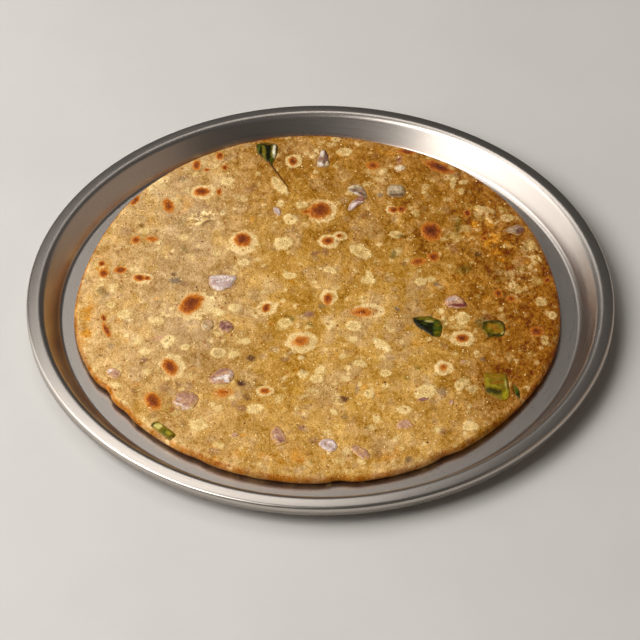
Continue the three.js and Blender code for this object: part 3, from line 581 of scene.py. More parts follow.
def oval(x, y, cx, cy, length, width, turn):
    """Distance from an oval's centre: 1 on its edge."""
    c, s = math.cos(math.radians(turn)), math.sin(math.radians(turn))
    along = ((x - cx) * c + (y - cy) * s) / (length / 2)
    across = ((y - cy) * c - (x - cx) * s) / (width / 2)
    return np.hypot(along, across)


# Shape of the flatbread


def bread_radius(theta):
    degrees = np.degrees(theta)
    radius = np.full(np.shape(theta), float(BREAD_RADIUS))
    for waves, height, crest in OUTLINE_WAVES:
        radius += height * np.cos(waves * (theta - math.radians(crest)))
    for angle, depth in EDGE_CRACKS:
        apart = np.abs((degrees - angle + 540) % 360 - 180)
        radius -= depth * np.exp(-((apart / CRACK_WIDTH) ** 2))
    return radius


def bread_top(x, y):
    height = np.full(np.shape(x), float(BREAD_TOP))
    for length, heading, rise, start in SWELLS:
        turn = math.radians(heading)
        along = x * math.cos(turn) + y * math.sin(turn)
        height += rise * np.sin(2 * math.pi * along / length + start)
    return height


def traced(kind, corners):
    """The middle of a set-in piece, and its smooth outline through the corners."""
    start = np.array(corners, float)
    end = np.roll(start, -1, 0)
    leave = ROUNDNESS[kind] * (end - np.roll(start, 1, 0))
    arrive = ROUNDNESS[kind] * (np.roll(end, -1, 0) - start)
    t = (np.arange(CORNER_STEPS) / CORNER_STEPS)[:, None, None]
    curve = (2 * t**3 - 3 * t**2 + 1) * start + (t**3 - 2 * t**2 + t) * leave
    curve = curve + (3 * t**2 - 2 * t**3) * end + (t**3 - t**2) * arrive
    edge = curve.transpose(1, 0, 2).reshape(-1, 2)
    return (edge.min(0) + edge.max(0)) / 2, edge


def share_out(kind, corners, x, y):
    """How far out from a set-in piece's middle each place lies: 1 on its outline."""
    (cx, cy), edge = traced(kind, corners)
    across, along = edge[:, 0] - cx, edge[:, 1] - cy
    bearing = np.arctan2(y - cy, x - cx)
    outline = np.interp(bearing, np.arctan2(along, across), np.hypot(across, along), period=2 * math.pi)
    return np.hypot(x - cx, y - cy) / outline


# Meshes


def mesh_object(name, points, faces, materials, smooth_faces=True):
    """A mesh object from points in mm, in the frame's place."""
    mesh = bpy.data.meshes.new(name)
    mesh.from_pydata((np.asarray(points) * MM).tolist(), [], faces)
    mesh.polygons.foreach_set("use_smooth", [smooth_faces] * len(mesh.polygons))
    for material in materials:
        mesh.materials.append(material)
    mesh.update()
    obj = bpy.data.objects.new(name, mesh)
    bpy.context.scene.collection.objects.link(obj)
    return obj


def store(obj, name, values):
    """Keeps one number, or one colour, for each point of a mesh, for its material to read."""
    values = np.asarray(values, np.float32)
    if values.ndim == 1:
        obj.data.attributes.new(name, "FLOAT", "POINT").data.foreach_set("value", values)
    else:
        layer = obj.data.attributes.new(name, "FLOAT_COLOR", "POINT")
        layer.data.foreach_set("color", values.ravel())


def stitch(faces, start_a, count_a, start_b, count_b):
    """Joins two rings that may have different numbers of points, from the same angle on."""
    a = b = 0
    while a < count_a or b < count_b:
        point_a = start_a + a % count_a
        point_b = start_b + b % count_b
        if b == count_b or (a < count_a and (a + 1) * count_b <= (b + 1) * count_a):
            faces.append((point_a, start_a + (a + 1) % count_a, point_b))
            a += 1
        else:
            faces.append((point_a, start_b + (b + 1) % count_b, point_b))
            b += 1


def ring_faces(counts):
    """Faces of a closed skin over rings, from a middle point under it to one above it."""
    faces = [(0, 1 + (i + 1) % counts[0], 1 + i) for i in range(counts[0])]
    start = 1
    for count, after in zip(counts, counts[1:]):
        stitch(faces, start, count, start + count, after)
        start += count
    last = counts[-1]
    faces += [(start + last, start + i, start + (i + 1) % last) for i in range(last)]
    return faces


# Node trees


class Graph:
    """Adds nodes to a tree. A node's inputs are given by name, or by number, as values or links."""

    def __init__(self, tree):
        self.tree = tree

    def add(self, kind, inputs=None, **settings):
        node = self.tree.nodes.new(kind)
        for name, value in settings.items():
            setattr(node, name, value)
        for key, value in (inputs or {}).items():
            socket = self.socket(node, key)
            if isinstance(value, bpy.types.NodeSocket):
                self.tree.links.new(value, socket)
            else:
                socket.default_value = value
        return node

    @staticmethod
    def socket(node, key):
        if isinstance(key, int):
            return node.inputs[key]
        return next(s for s in node.inputs if s.name == key and s.enabled)

    def math(self, operation, first, *others):
        """Numbers joined from left to right by one operation."""
        for value in others:
            node = self.add("ShaderNodeMath", {0: first, 1: value}, operation=operation)
            first = node.outputs[0]
        return first

    def plus(self, *values):
        return self.math("ADD", *values)

    def less(self, value, amount):
        return self.math("SUBTRACT", value, amount)

    def times(self, *values):
        return self.math("MULTIPLY", *values)

    def highest(self, *values):
        return self.math("MAXIMUM", *values)

    def vector(self, operation, first, second):
        """Two vectors joined by an operation, or with SCALE a vector and a number."""
        key = "Scale" if operation == "SCALE" else 1
        node = self.add("ShaderNodeVectorMath", {0: first, key: second}, operation=operation)
        return node.outputs[0]


class Surface(Graph):
    """A material's node tree, with the patterns that the materials here share."""

    def __init__(self, name):
        self.material = bpy.data.materials.new(name)
        self.material.use_nodes = True
        super().__init__(self.material.node_tree)
        self.shader = self.tree.nodes["Principled BSDF"]
        self.place = self.vector("SCALE", self.add("ShaderNodeTexCoord").outputs["Object"], 1 / MM)

    def attribute(self, name, output="Fac"):
        return self.add("ShaderNodeAttribute", attribute_name=name).outputs[output]

    def noise(self, size, detail=3.0, roughness=0.55, vector=None):
        inputs = {"Vector": vector or self.place, "Scale": 1 / size}
        inputs.update({"Detail": detail, "Roughness": roughness})
        return self.add("ShaderNodeTexNoise", inputs).outputs["Fac"]

    def grains(self, size, vector=None):
        """Scattered grains: distance from each one's middle, and a random number for each."""
        inputs = {"Vector": vector or self.place, "Scale": 1 / size, "Randomness": 1.0}
        field = self.add("ShaderNodeTexVoronoi", inputs)
        pick = self.add("ShaderNodeSeparateColor", {0: field.outputs["Color"]}).outputs[0]
        return field.outputs["Distance"], pick

    def dots(self, size, reach, share, vector=None):
        """Dots on some of a field of scattered grains: their reach, and the share left bare."""
        distance, pick = self.grains(size, vector)
        near = self.span(distance, reach, reach * 0.45)
        return self.times(near, self.math("GREATER_THAN", pick, share))

    def granules(self, size, vector=None):
        """Packed granules, about zero: high tops, low gaps, and some granules lighter than others."""
        distance, pick = self.grains(size, vector)
        tops = self.span(distance, 0.75, 0.15, -0.5, 0.5)
        return self.plus(tops, self.centred(pick, 0.7))

    def warped(self, vector, size, reach):
        """A place moved about by soft noise, so that what is drawn there has uneven outlines."""
        inputs = {"Vector": vector, "Scale": 1 / size, "Detail": 2.0}
        stir = self.add("ShaderNodeTexNoise", inputs).outputs["Color"]
        middle = self.vector("SUBTRACT", stir, (0.5, 0.5, 0.5))
        return self.vector("ADD", vector, self.vector("SCALE", middle, reach * 2))

    def centred(self, value, amount):
        """Noise moved to lie about zero, times an amount."""
        return self.times(self.less(value, 0.5), amount)

    def lifted(self, colour, shift):
        """A colour made lighter and paler where shift is over zero, and darker and stronger under it."""
        scaled = self.vector("SCALE", colour, self.highest(self.plus(shift, 1.0), LEAST_LIGHT))
        parts = self.add("ShaderNodeSeparateColor", {0: colour}).outputs
        paler = {"Y": self.times(parts[0], PALER[0]), "Z": self.times(parts[1], PALER[1])}
        pale = self.add("ShaderNodeCombineXYZ", paler).outputs[0]
        veiled = self.vector("ADD", scaled, self.vector("SCALE", pale, shift))
        return self.vector("MAXIMUM", veiled, DARKEST)

    def span(self, value, low, high, to_low=0.0, to_high=1.0):
        """A smooth step from one value to another, as the value given goes from low to high."""
        inputs = {"Value": value, "From Min": low, "From Max": high}
        inputs.update({"To Min": to_low, "To Max": to_high})
        return self.add("ShaderNodeMapRange", inputs, interpolation_type="SMOOTHSTEP").outputs[0]

    def mix(self, share, first, second, blend="MIX"):
        inputs = {0: share, 6: first, 7: second}
        return self.add("ShaderNodeMix", inputs, data_type="RGBA", blend_type=blend).outputs[2]

    def laid(self, colour, *layers):
        """A colour with others laid over it, each given as its share and its name."""
        for share, name in layers:
            colour = self.mix(share, colour, linear(name))
        return colour

    def ramp(self, value, *stops):
        """A colour ramp from pairs of place and colour name."""
        node = self.add("ShaderNodeValToRGB", {"Fac": value})
        band = node.color_ramp
        while len(band.elements) < len(stops):
            band.elements.new(1.0)
        for element, (place, name) in zip(band.elements, stops):
            element.position = place
            element.color = linear(name)
        return node.outputs["Color"]

    def bump(self, height, distance, strength):
        inputs = {"Height": height, "Distance": distance * MM, "Strength": strength}
        return self.add("ShaderNodeBump", inputs).outputs["Normal"]

    def finish(self, **values):
        """Sets the shader's inputs, by names with underscores for spaces, and gives the material."""
        for name, value in values.items():
            socket = self.shader.inputs[name.replace("_", " ")]
            if isinstance(value, bpy.types.NodeSocket):
                self.tree.links.new(value, socket)
            else:
                socket.default_value = value
        return self.material


# Materials


def steel_material():
    s = Surface("satin_steel")
    flat = s.vector("MULTIPLY", s.place, (1, 1, 0))
    radius = s.add("ShaderNodeVectorMath", {0: flat}, operation="LENGTH").outputs["Value"]
    turned = s.add("ShaderNodeCombineXYZ", {"X": radius}).outputs[0]
    lines = s.vector("ADD", turned, s.vector("SCALE", s.place, MARK_DRIFT))
    marks = s.noise(MARK_SIZE, 3.0, 0.6, lines)
    grain = s.noise(STEEL_GRAIN, 2.0)
    shade = s.mix(s.span(marks, 0.3, 0.7, 0.0, 0.12), linear("steel"), STEEL_MARK)
    rough = s.plus(s.span(marks, 0.25, 0.75, 0.26, 0.32), s.span(grain, 0.3, 0.7, 0.0, 0.04))
    normal = s.bump(s.plus(marks, s.times(grain, 0.5)), 0.006, 0.3)
    return s.finish(Base_Color=shade, Metallic=1.0, Roughness=rough, Normal=normal)


def bread_material():
    """Dough whose mesh says where it is oiled, pale, laced and burnt, broken up by mottling and by painted
    highlight and painted shade on its grain.
    """
    s = Surface("lentil_dough")
    s.place = s.vector("MULTIPLY", s.place, (1.0, DOUGH_STRETCH, 1.0))
    bent = s.warped(s.place, 7.0, 5.0)
    clouds = s.noise(GRAIN["clouds"], 3.0, 0.55, bent)
    patches = s.noise(GRAIN["patches"], 3.0, 0.6, bent)
    lumps = s.noise(GRAIN["lumps"], 2.0, 0.6, s.warped(s.place, 2.5, 1.6))
    grit = s.noise(GRAIN["grit"], 2.0, 0.6)
    fine = s.noise(GRAIN["fine"], 2.0, 0.7)
    stirred = s.warped(s.place, 1.4, 0.7)
    granules = s.granules(GRAIN["granules"], stirred)
    crumbs = s.granules(GRAIN["crumbs"], stirred)
    oiled = s.attribute("oiled")
    dry = s.less(1.0, oiled)
    pale = s.attribute("pale")
    bare = s.times(dry, s.less(1.0, pale))
    halo = s.span(s.plus(s.attribute("halo"), s.centred(lumps, 0.34)), 0.1, 0.9)
    weave = s.noise(GRAIN["weave"], 2.0, 0.6, stirred)
    lace = s.attribute("lace")
    hazy = s.span(s.noise(GRAIN["haze"], 2.0), 0.5, 0.66, 0.0, 0.5)
    warm = s.span(s.noise(GRAIN["warmth"], 2.0), 0.52, 0.68, 0.0, 0.35)
    spicy = s.span(s.noise(GRAIN["spice"], 3.0), 0.46, 0.58, 0.1, 1.0)
    flakes = s.dots(GRAIN["flakes"], 0.36, 0.4, s.warped(s.place, 2.2, 1.4))
    flakes = s.times(flakes, s.span(patches, 0.38, 0.58, 0.1, 0.6))
    tone = s.laid(
        s.attribute("tone", "Color"),
        (s.times(hazy, bare), "haze"),
        (s.times(warm, bare), "yellow"),
        (s.times(s.attribute("spiced"), spicy), "orange"),
        (s.times(flakes, s.plus(0.55, s.times(dry, 0.45))), "lentil"),
        (s.times(halo, COVER["halo"]), "flour_and_glint"),
        (s.times(lace, s.span(weave, 0.5, 0.57)), "flour_and_glint"),
        (s.times(lace, s.span(weave, 0.46, 0.38, 0.0, 0.6)), "pit"),
    )

    heat = s.plus(s.attribute("char"), s.plus(s.centred(grit, 0.06), s.centred(lumps, 0.2)))
    scorched = s.span(heat, 0.0, 0.26)
    marked = s.highest(halo, scorched, pale)
    plain = s.less(1.0, s.times(marked, 0.6))
    broad = s.plus(s.centred(clouds, SHADING["clouds"]), s.centred(patches, SHADING["patches"]))
    broad = s.plus(broad, s.span(patches, 0.55, 0.62, 0.0, 0.08))
    broad = s.times(broad, s.plus(1.0, s.times(oiled, 0.5)))
    crusty = s.plus(0.09, s.times(oiled, 0.18))
    # Packed granules and crumbs, lumps, grit and the fine grain lighten and darken the colour: partly the
    # dough's own speckle, partly painted highlight on the grain's tops and painted shade in the gaps
    packed = s.plus(granules, s.times(crumbs, 0.65))
    uneven = s.times(oiled, s.centred(lumps, SHADING["oiled_lumps"]))
    uneven = s.plus(s.centred(lumps, SHADING["lumps"]), uneven)
    close = s.plus(s.times(packed, crusty), uneven, s.centred(grit, SHADING["grit"]))
    shift = s.plus(s.times(s.plus(broad, close), plain), s.centred(fine, SHADING["fine"]))
    tone = s.lifted(tone, s.highest(shift, -0.55))

    burn = s.plus(s.times(heat, 0.9), s.plus(s.centred(grit, 0.4), s.times(crumbs, 0.08)))
    crust = s.ramp(burn, (0.04, "toasted"), (0.2, "toast"), (0.42, "brown"), (0.9, "char"))
    crust = s.mix(s.times(oiled, 0.45), crust, OILED_CRUST, "MULTIPLY")
    tone = s.lifted(s.mix(scorched, tone, crust), s.centred(fine, 0.4))
    # Pits: small hollows, pressed in by the bump and darkened with painted shade
    pits = s.times(s.dots(GRAIN["pits"], 0.26, 0.6), s.span(clouds, 0.42, 0.6))
    # Glints: painted highlights, tiny pale dots where the dough's grain would catch the light
    glint_beds = s.span(s.noise(GRAIN["glint_beds"]), 0.45, 0.62)
    glints = s.times(s.dots(GRAIN["glints"], 0.28, 0.6), glint_beds)
    specks = s.dots(GRAIN["specks"], 0.2, 0.55)
    tone = s.laid(
        tone,
        (s.times(pits, COVER["pits"]), "pit"),
        (s.times(glints, COVER["glints"]), "flour_and_glint"),
        (s.times(specks, COVER["specks"]), "rust"),
    )

    wet = s.times(s.highest(oiled, scorched), 0.2)
    rough = s.less(s.span(grit, 0.3, 0.7, 0.42, 0.62), wet)
    bumps = s.plus(s.times(fine, 0.5), s.times(glints, 0.5))
    bumps = s.plus(s.less(bumps, pits), s.plus(grit, s.times(lumps, 0.8)))
    bumps = s.plus(bumps, s.times(packed, s.times(crusty, 2.2)))
    s.finish(Specular_IOR_Level=0.12)
    return s.finish(Base_Color=tone, Roughness=rough, Normal=s.bump(bumps, 0.4, 0.7))


def topping_material(name, size, contrast, smoothest, shine):
    """Moist vegetable: painted tones, broken up by specks of a size, with a wet skin."""
    s = Surface(name)
    veins = s.noise(size, 3.0, 0.6, s.warped(s.place, 2.5, 1.2))
    fine = s.noise(0.5, 2.0, 0.7)
    shift = s.plus(s.centred(veins, contrast), s.centred(fine, contrast * 0.6))
    colour = s.lifted(s.attribute("tone", "Color"), s.highest(shift, -0.5))
    bumps = s.plus(veins, s.times(fine, 0.4))
    rough = s.span(veins, 0.3, 0.7, smoothest, smoothest + 0.22)
    s.finish(Specular_IOR_Level=shine)
    return s.finish(Base_Color=colour, Roughness=rough, Normal=s.bump(bumps, 0.25, 0.6))


def crumb_material(name, first, second, roughness):
    """Plain food crumbs of two colours that run into each other."""
    s = Surface(name)
    colour = s.mix(s.span(s.noise(2.4, 3.0), 0.35, 0.65), linear(first), linear(second))
    return s.finish(Base_Color=colour, Roughness=roughness, Normal=s.bump(s.noise(0.5), 0.1, 0.4))


# Geometry node trees


class Recipe(Graph):
    """A geometry node tree with named inputs, used once on an object and turned into a plain mesh."""

    def __init__(self, name):
        tree = bpy.data.node_groups.new(name, "GeometryNodeTree")
        tree.is_modifier = True
        super().__init__(tree)
        self.names = {}
        tree.interface.new_socket(name="Geometry", in_out="OUTPUT", socket_type="NodeSocketGeometry")
        self.start = tree.nodes.new("NodeGroupInput")
        self.base = self.input("Geometry", "Geometry")

    def input(self, name, kind="Float"):
        """Adds a named input and gives its socket."""
        made = self.tree.interface.new_socket(
            name=name, in_out="INPUT", socket_type="NodeSocket" + kind
        )
        self.names[name] = made.identifier
        return next(s for s in self.start.outputs if s.identifier == made.identifier)

    def end(self, geometry, material):
        real = self.add("GeometryNodeRealizeInstances", {"Geometry": geometry}).outputs[0]
        done = self.add("GeometryNodeSetMaterial", {"Geometry": real, "Material": material}).outputs[0]
        shaded = self.add("GeometryNodeSetShadeSmooth", {"Geometry": done}).outputs[0]
        self.add("NodeGroupOutput", {0: shaded})

    def use(self, obj, **values):
        """Puts the tree on an object, with a value for each of its inputs."""
        modifier = obj.modifiers.new(self.tree.name, "NODES")
        modifier.node_group = self.tree
        for name, value in values.items():
            modifier[self.names[name.replace("_", " ")]] = value
        return modifier


def settle(obj):
    """Turns what an object's modifiers make into its plain mesh."""
    graph = bpy.context.evaluated_depsgraph_get()
    made = bpy.data.meshes.new_from_object(obj.evaluated_get(graph))
    obj.modifiers.clear()
    old = obj.data
    obj.data = made
    made.name = obj.name
    bpy.data.meshes.remove(old)
    return obj


def lathe_recipe():
    """Rounds the corners of a profile and turns it about the vertical axis."""
    r = Recipe("turned_sheet")
    radius = r.input("Radius")
    segments = r.input("Segments", "Int")
    steps = r.input("Bend Steps", "Int")
    material = r.input("Material", "Material")
    bend = r.add("GeometryNodeInputNamedAttribute", {"Name": "bend"}).outputs[0]
    line = r.add("GeometryNodeMeshToCurve", {"Mesh": r.base}).outputs[0]
    rounded = r.add("GeometryNodeFilletCurve", mode="POLY")
    for key, value in (("Curve", line), ("Radius", bend), ("Count", steps)):
        r.tree.links.new(value, r.socket(rounded, key))
    rounded.inputs["Limit Radius"].default_value = True
    circle = r.add("GeometryNodeCurvePrimitiveCircle", {"Resolution": segments, "Radius": radius})
    turned = {"Curve": circle.outputs[0], "Profile Curve": rounded.outputs[0]}
    swept = r.add("GeometryNodeCurveToMesh", turned)
    merged = r.add("GeometryNodeMergeByDistance", {"Geometry": swept.outputs[0], "Distance": 1e-6})
    r.end(merged.outputs[0], material)
    return r


def scatter_recipe():
    """Strews small uneven grains over a surface, thicker where its "room" attribute is high."""
    r = Recipe("strewn_grains")
    spacing = r.input("Spacing")
    density = r.input("Density")
    smallest = r.input("Smallest")
    largest = r.input("Largest")
    shape = r.input("Shape", "Vector")
    facets = r.input("Facets", "Int")
    seed = r.input("Seed", "Int")
    material = r.input("Material", "Material")
    room = r.add("GeometryNodeInputNamedAttribute", {"Name": "room"}).outputs[0]
    points = r.add("GeometryNodeDistributePointsOnFaces", distribute_method="POISSON")
    links = (("Mesh", r.base), ("Distance Min", spacing), ("Density Max", density))
    for key, value in links + (("Density Factor", room), ("Seed", seed)):
        r.tree.links.new(value, r.socket(points, key))
    ball = r.add("GeometryNodeMeshIcoSphere", {"Radius": 0.5, "Subdivisions": facets}).outputs[0]
    lumps = r.add("ShaderNodeTexNoise", {"Scale": 1.7, "Detail": 1.0}).outputs["Color"]
    shift = r.vector("SCALE", r.vector("SUBTRACT", lumps, (0.5, 0.5, 0.5)), 0.9)
    lumpy = r.add("GeometryNodeSetPosition", {"Geometry": ball, "Offset": shift}).outputs[0]
    grain = r.add("GeometryNodeTransform", {"Geometry": lumpy, "Scale": shape}).outputs[0]
    turns = {"Max": (0.5, 0.5, 6.28), "Seed": seed}
    turn = r.add("FunctionNodeRandomValue", turns, data_type="FLOAT_VECTOR")
    spin = r.add("FunctionNodeRotateRotation", {0: points.outputs["Rotation"]}, rotation_space="LOCAL")
    euler = r.add("FunctionNodeEulerToRotation", {0: turn.outputs[0]}).outputs[0]
    r.tree.links.new(euler, spin.inputs[1])
    size = r.add("FunctionNodeRandomValue", {"Min": smallest, "Max": largest, "Seed": seed}).outputs[1]
    laid = r.add("GeometryNodeInstanceOnPoints", {"Points": points.outputs[0], "Instance": grain})
    r.tree.links.new(spin.outputs[0], laid.inputs["Rotation"])
    r.tree.links.new(size, laid.inputs["Scale"])
    r.end(laid.outputs[0], material)
    return r


# Pieces


def plate_profile():
    """Corners of the sheet's upper face, from the axis to the lip, as radius, height and bend."""
    slope, fall = math.radians(WALL_SLOPE), math.radians(RIM_SLOPE)
    bend_rise = (FLOOR_FILLET + CREST_FILLET) * (1 - math.cos(slope))
    wall = (PLATE_DEPTH - bend_rise) / math.sin(slope)
    to_floor = FLOOR_FILLET * math.tan(slope / 2)
    to_crest = CREST_FILLET * math.tan((slope + fall) / 2)
    foot = FLOOR_RADIUS + to_floor
    crest = foot + (to_floor + wall + to_crest) * math.cos(slope)
    crest_height = SHEET + (to_floor + wall + to_crest) * math.sin(slope)
    lip_height = crest_height - (PLATE_RADIUS - crest) * math.tan(fall)
    return (
        (0, SHEET, 0),
        (foot, SHEET, FLOOR_FILLET),
        (crest, crest_height, CREST_FILLET),
        (PLATE_RADIUS, lip_height, LIP_FILLET),
        (PLATE_RADIUS, LIP_BOTTOM, 0),
    )


def make_plate(material):
    corners = plate_profile()
    points = [(radius - PLATE_RADIUS, -height, 0) for radius, height, _ in corners]
    mesh = bpy.data.meshes.new("steel_plate")
    mesh.from_pydata((np.array(points) * MM).tolist(), [(i, i + 1) for i in range(len(points) - 1)], [])
    plate = bpy.data.objects.new("steel_plate", mesh)
    bpy.context.scene.collection.objects.link(plate)
    store(plate, "bend", [bend * MM for _, _, bend in corners])
    lathe_recipe().use(
        plate, Radius=PLATE_RADIUS * MM, Segments=PLATE_SEGMENTS, Bend_Steps=BEND_STEPS, Material=material
    )
    settle(plate)
    sheet = plate.modifiers.new("sheet", "SOLIDIFY")
    sheet.thickness = SHEET * MM
    sheet.offset = -1
    settle(plate)
    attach(plate, "root")
    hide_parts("plate")


def bread_points():
    """The flatbread's skin before its relief: points, how far each faces outwards, and ring sizes."""
    rings = []
    counts = []
    side = []

    def on_bread(theta, radius):
        return BREAD_CENTRE[0] + radius * np.cos(theta), BREAD_CENTRE[1] + radius * np.sin(theta)

    def add_ring(count, share, lean, height):
        theta = np.arange(count) * 2 * math.pi / count
        radius = (bread_radius(theta) - EDGE_ROUND) * share + EDGE_ROUND * math.cos(lean) * (share == 1)
        x, y = on_bread(theta, radius)
        middle = (BREAD_BOTTOM + bread_top(x, y)) / 2
        z = np.full(count, BREAD_BOTTOM) if height is None else middle + (middle - BREAD_BOTTOM) * height
        rings.append(np.stack([x, y, z], 1))
        side.append(np.full(count, math.cos(lean) if share == 1 else 0.0))
        counts.append(count)

    edge_count = 6 * TOP_RINGS
    for level in reversed(UNDERSIDE_RINGS):
        add_ring(6 * level, level / TOP_RINGS, -math.pi / 2, None)
    for row in range(EDGE_ROWS):
        lean = math.pi * (row / EDGE_ROWS - 0.5)
        add_ring(edge_count, 1, lean, math.sin(lean))
    for level in range(TOP_RINGS, 0, -1):
        add_ring(6 * level, level / TOP_RINGS, math.pi / 2, 1)
    x, y = BREAD_CENTRE
    low = [[x, y, BREAD_BOTTOM]]
    high = [[x, y, float(bread_top(np.array(x), np.array(y)))]]
    points = np.concatenate([low, *rings, high])
    return points, np.concatenate([[0], *side, [0]]), counts


def near(x, y, place, far, close):
    """One round a place, falling to nothing far from it."""
    return smooth(far, close, np.hypot(x - place[0], y - place[1]))


def to_edge(x, y):
    """Bearings from the flatbread's middle, and distances inwards from its edge."""
    theta = np.arctan2(y - BREAD_CENTRE[1], x - BREAD_CENTRE[0])
    return theta, bread_radius(theta) - np.hypot(x - BREAD_CENTRE[0], y - BREAD_CENTRE[1])


def make_bread(material):
    points, side, counts = bread_points()
    x, y = points[:, 0], points[:, 1]
    top = np.zeros(len(points), bool)
    top[1 + sum(6 * level for level in UNDERSIDE_RINGS):] = True
    theta, from_edge = to_edge(x, y)
    wobble = ripple(x, y, 3.0, 3.0)
    fields = dough_fields(x, y, wobble, from_edge, side)
    relief = dough_relief(x, y, fields, from_edge)
    points[top, 2] += (relief * (1 - side))[top]
    outward = SIDE_RELIEF * ripple(x, y, 4.0, 9.0) * side
    points[:, 0] += np.cos(theta) * outward
    points[:, 1] += np.sin(theta) * outward
    # The side darkens towards the plate: partly the dough's browned bottom, partly painted shade where it
    # meets the plate, thinned where the painted highlight lies
    low = smooth(3.4, 1.4, points[:, 2]) * smooth(0, 0.3, side)
    low = low * (1 - 0.8 * near(x, y, PAINTED_EDGE_HIGHLIGHT, 26, 8))
    fields["tone"] = blend_colour(fields["tone"], linear("underside_brown_and_shade"), 0.85 * low)
    bread = mesh_object("lentil_bread", points, ring_faces(counts), [material])
    for name, values in fields.items():
        store(bread, name, values)
    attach(bread, "root")
    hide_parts("flatbread")
    return bread, points, top, fields


def dough_fields(x, y, wobble, from_edge, side):
    """What the dough's material reads: its tone, and how charred, ringed with pale and oiled it is."""
    blur = ripple(x, y, 34.0, 5.0)
    right = smooth(26, 94, x - 10 * smooth(0, -60, y) + 14 * blur)
    right = right * (1 - 0.32 * near(x, y, (70, 44), 40, 5))
    back = 0.5 * smooth(20, 76, y + 0.45 * x + 8 * blur) * smooth(-62, -30, x)
    corner = 0.45 * smooth(95, 120, y + 0.5 * x)
    middle = 0.2 * near(x, y, (8, 28), 34, 8)
    oiled = 1 - (1 - right) * (1 - back) * (1 - corner) * (1 - middle)
    tone = blend_colour(np.tile(linear("dough"), (len(x), 1)), linear("dough_oiled"), 0.97 * oiled)
    faded = smooth(-15, -60, x) * (1 - 0.55 * smooth(-20, -60, y))
    tone = blend_colour(tone, linear("dough_dry"), 0.7 * (1 - oiled) * faded)
    bright = np.maximum(0.55 * smooth(-66, -96, x), 0.2 * smooth(-50, -80, y))
    tone = blend_colour(tone, linear("dough_pale"), (1 - oiled) * bright)
    lace = np.zeros(len(x))
    for cx, cy, length, width, turn, strength in LACE:
        reach = oval(x, y, cx, cy, length, width, turn) + 0.25 * wobble
        lace = np.maximum(lace, strength * smooth(1.15, 0.6, reach))
    pale = np.zeros(len(x))
    for cx, cy, length, width, turn in PALE_SPOTS:
        reach = oval(x, y, cx, cy, length, width, turn) + 0.2 * wobble
        pale = np.maximum(pale, smooth(1.15, 0.9, reach) * (0.65 + 0.35 * smooth(0.4, 0.8, reach)))
    tone = blend_colour(tone, linear("lentil"), pale * (0.95 - 0.3 * oiled))
    for place, name, strength in flecks():
        fleck = strength * smooth(1.2, 0.7, oval(x, y, *place) + 0.3 * wobble) * (1 - 0.5 * oiled)
        tone = blend_colour(tone, linear(name), fleck)
        if name == "lentil":
            pale = np.maximum(pale, 0.8 * fleck)
    spiced = np.zeros(len(x))
    for cx, cy, length, width, turn, strength in SPICED:
        spiced = np.maximum(spiced, strength * smooth(1.2, 0.3, oval(x, y, cx, cy, length, width, turn)))
    for cx, cy, length, width, turn, name, strength in STAINS:
        stain = strength * smooth(1.25, 0.45, oval(x, y, cx, cy, length, width, turn) + 0.35 * wobble)
        tone = blend_colour(tone, linear(name), stain)
    char = np.zeros(len(x))
    halo = np.zeros(len(x))
    for cx, cy, length, width, turn, dark, shift_x, shift_y, ring_length, ring_width, _ in BLISTERS:
        reach = oval(x, y, cx, cy, length, width, turn) + 0.15 * wobble
        char = np.maximum(char, dark * np.clip(1 - reach / CHAR_REACH, 0, 1) ** CHAR_FADE)
        if ring_length:
            place = (cx + shift_x, cy + shift_y, ring_length, ring_width, turn)
            ring = oval(x, y, *place) + min(0.25, 0.017 * ring_width) * wobble
            halo = np.maximum(halo, smooth(1.25, 0.8, ring) * (0.45 + 0.55 * smooth(0.4, 0.85, ring)))
    browned = smooth(0.25, 0.75, side) * (0.8 + 0.2 * blur + 0.4 * wobble)
    # The side's browning is thinned round the painted highlight
    browned = browned * (1 - 0.5 * near(x, y, PAINTED_EDGE_HIGHLIGHT, 26, 8))
    tone = blend_colour(tone, linear("edge"), np.clip(browned, 0, 1))
    shoulder = smooth(7, 3.5, from_edge) * smooth(0.6, 2.0, from_edge) * (0.1 + 0.5 * wobble)
    tone = blend_colour(tone, linear("flour_and_glint"), np.clip(shoulder, 0, 0.35) * (1 - oiled))
    return {
        "tone": tone, "char": char, "halo": halo, "oiled": oiled, "pale": pale, "spiced": spiced, "lace": lace
    }


def flecks():
    """Places, colours and strengths of the flecks that are scattered by rule."""
    draw = np.random.default_rng(FLECK_SEED)
    made = []
    for count, least, greatest, name, strength in FLECKS:
        for _ in range(count):
            reach, bearing = BREAD_RADIUS * math.sqrt(draw.random()), 2 * math.pi * draw.random()
            cx, cy = BREAD_CENTRE[0] + reach * math.cos(bearing), BREAD_CENTRE[1] + reach * math.sin(bearing)
            length = draw.uniform(least, greatest)
            place = (cx, cy, length, length * draw.uniform(*FLECK_SLIMNESS), draw.uniform(0, 180))
            made.append((place, name, strength * draw.uniform(0.35, 1.0)))
    return made


def blend_colour(base, colour, share):
    share = np.asarray(share)[:, None]
    return base * (1 - share) + np.array(colour) * share


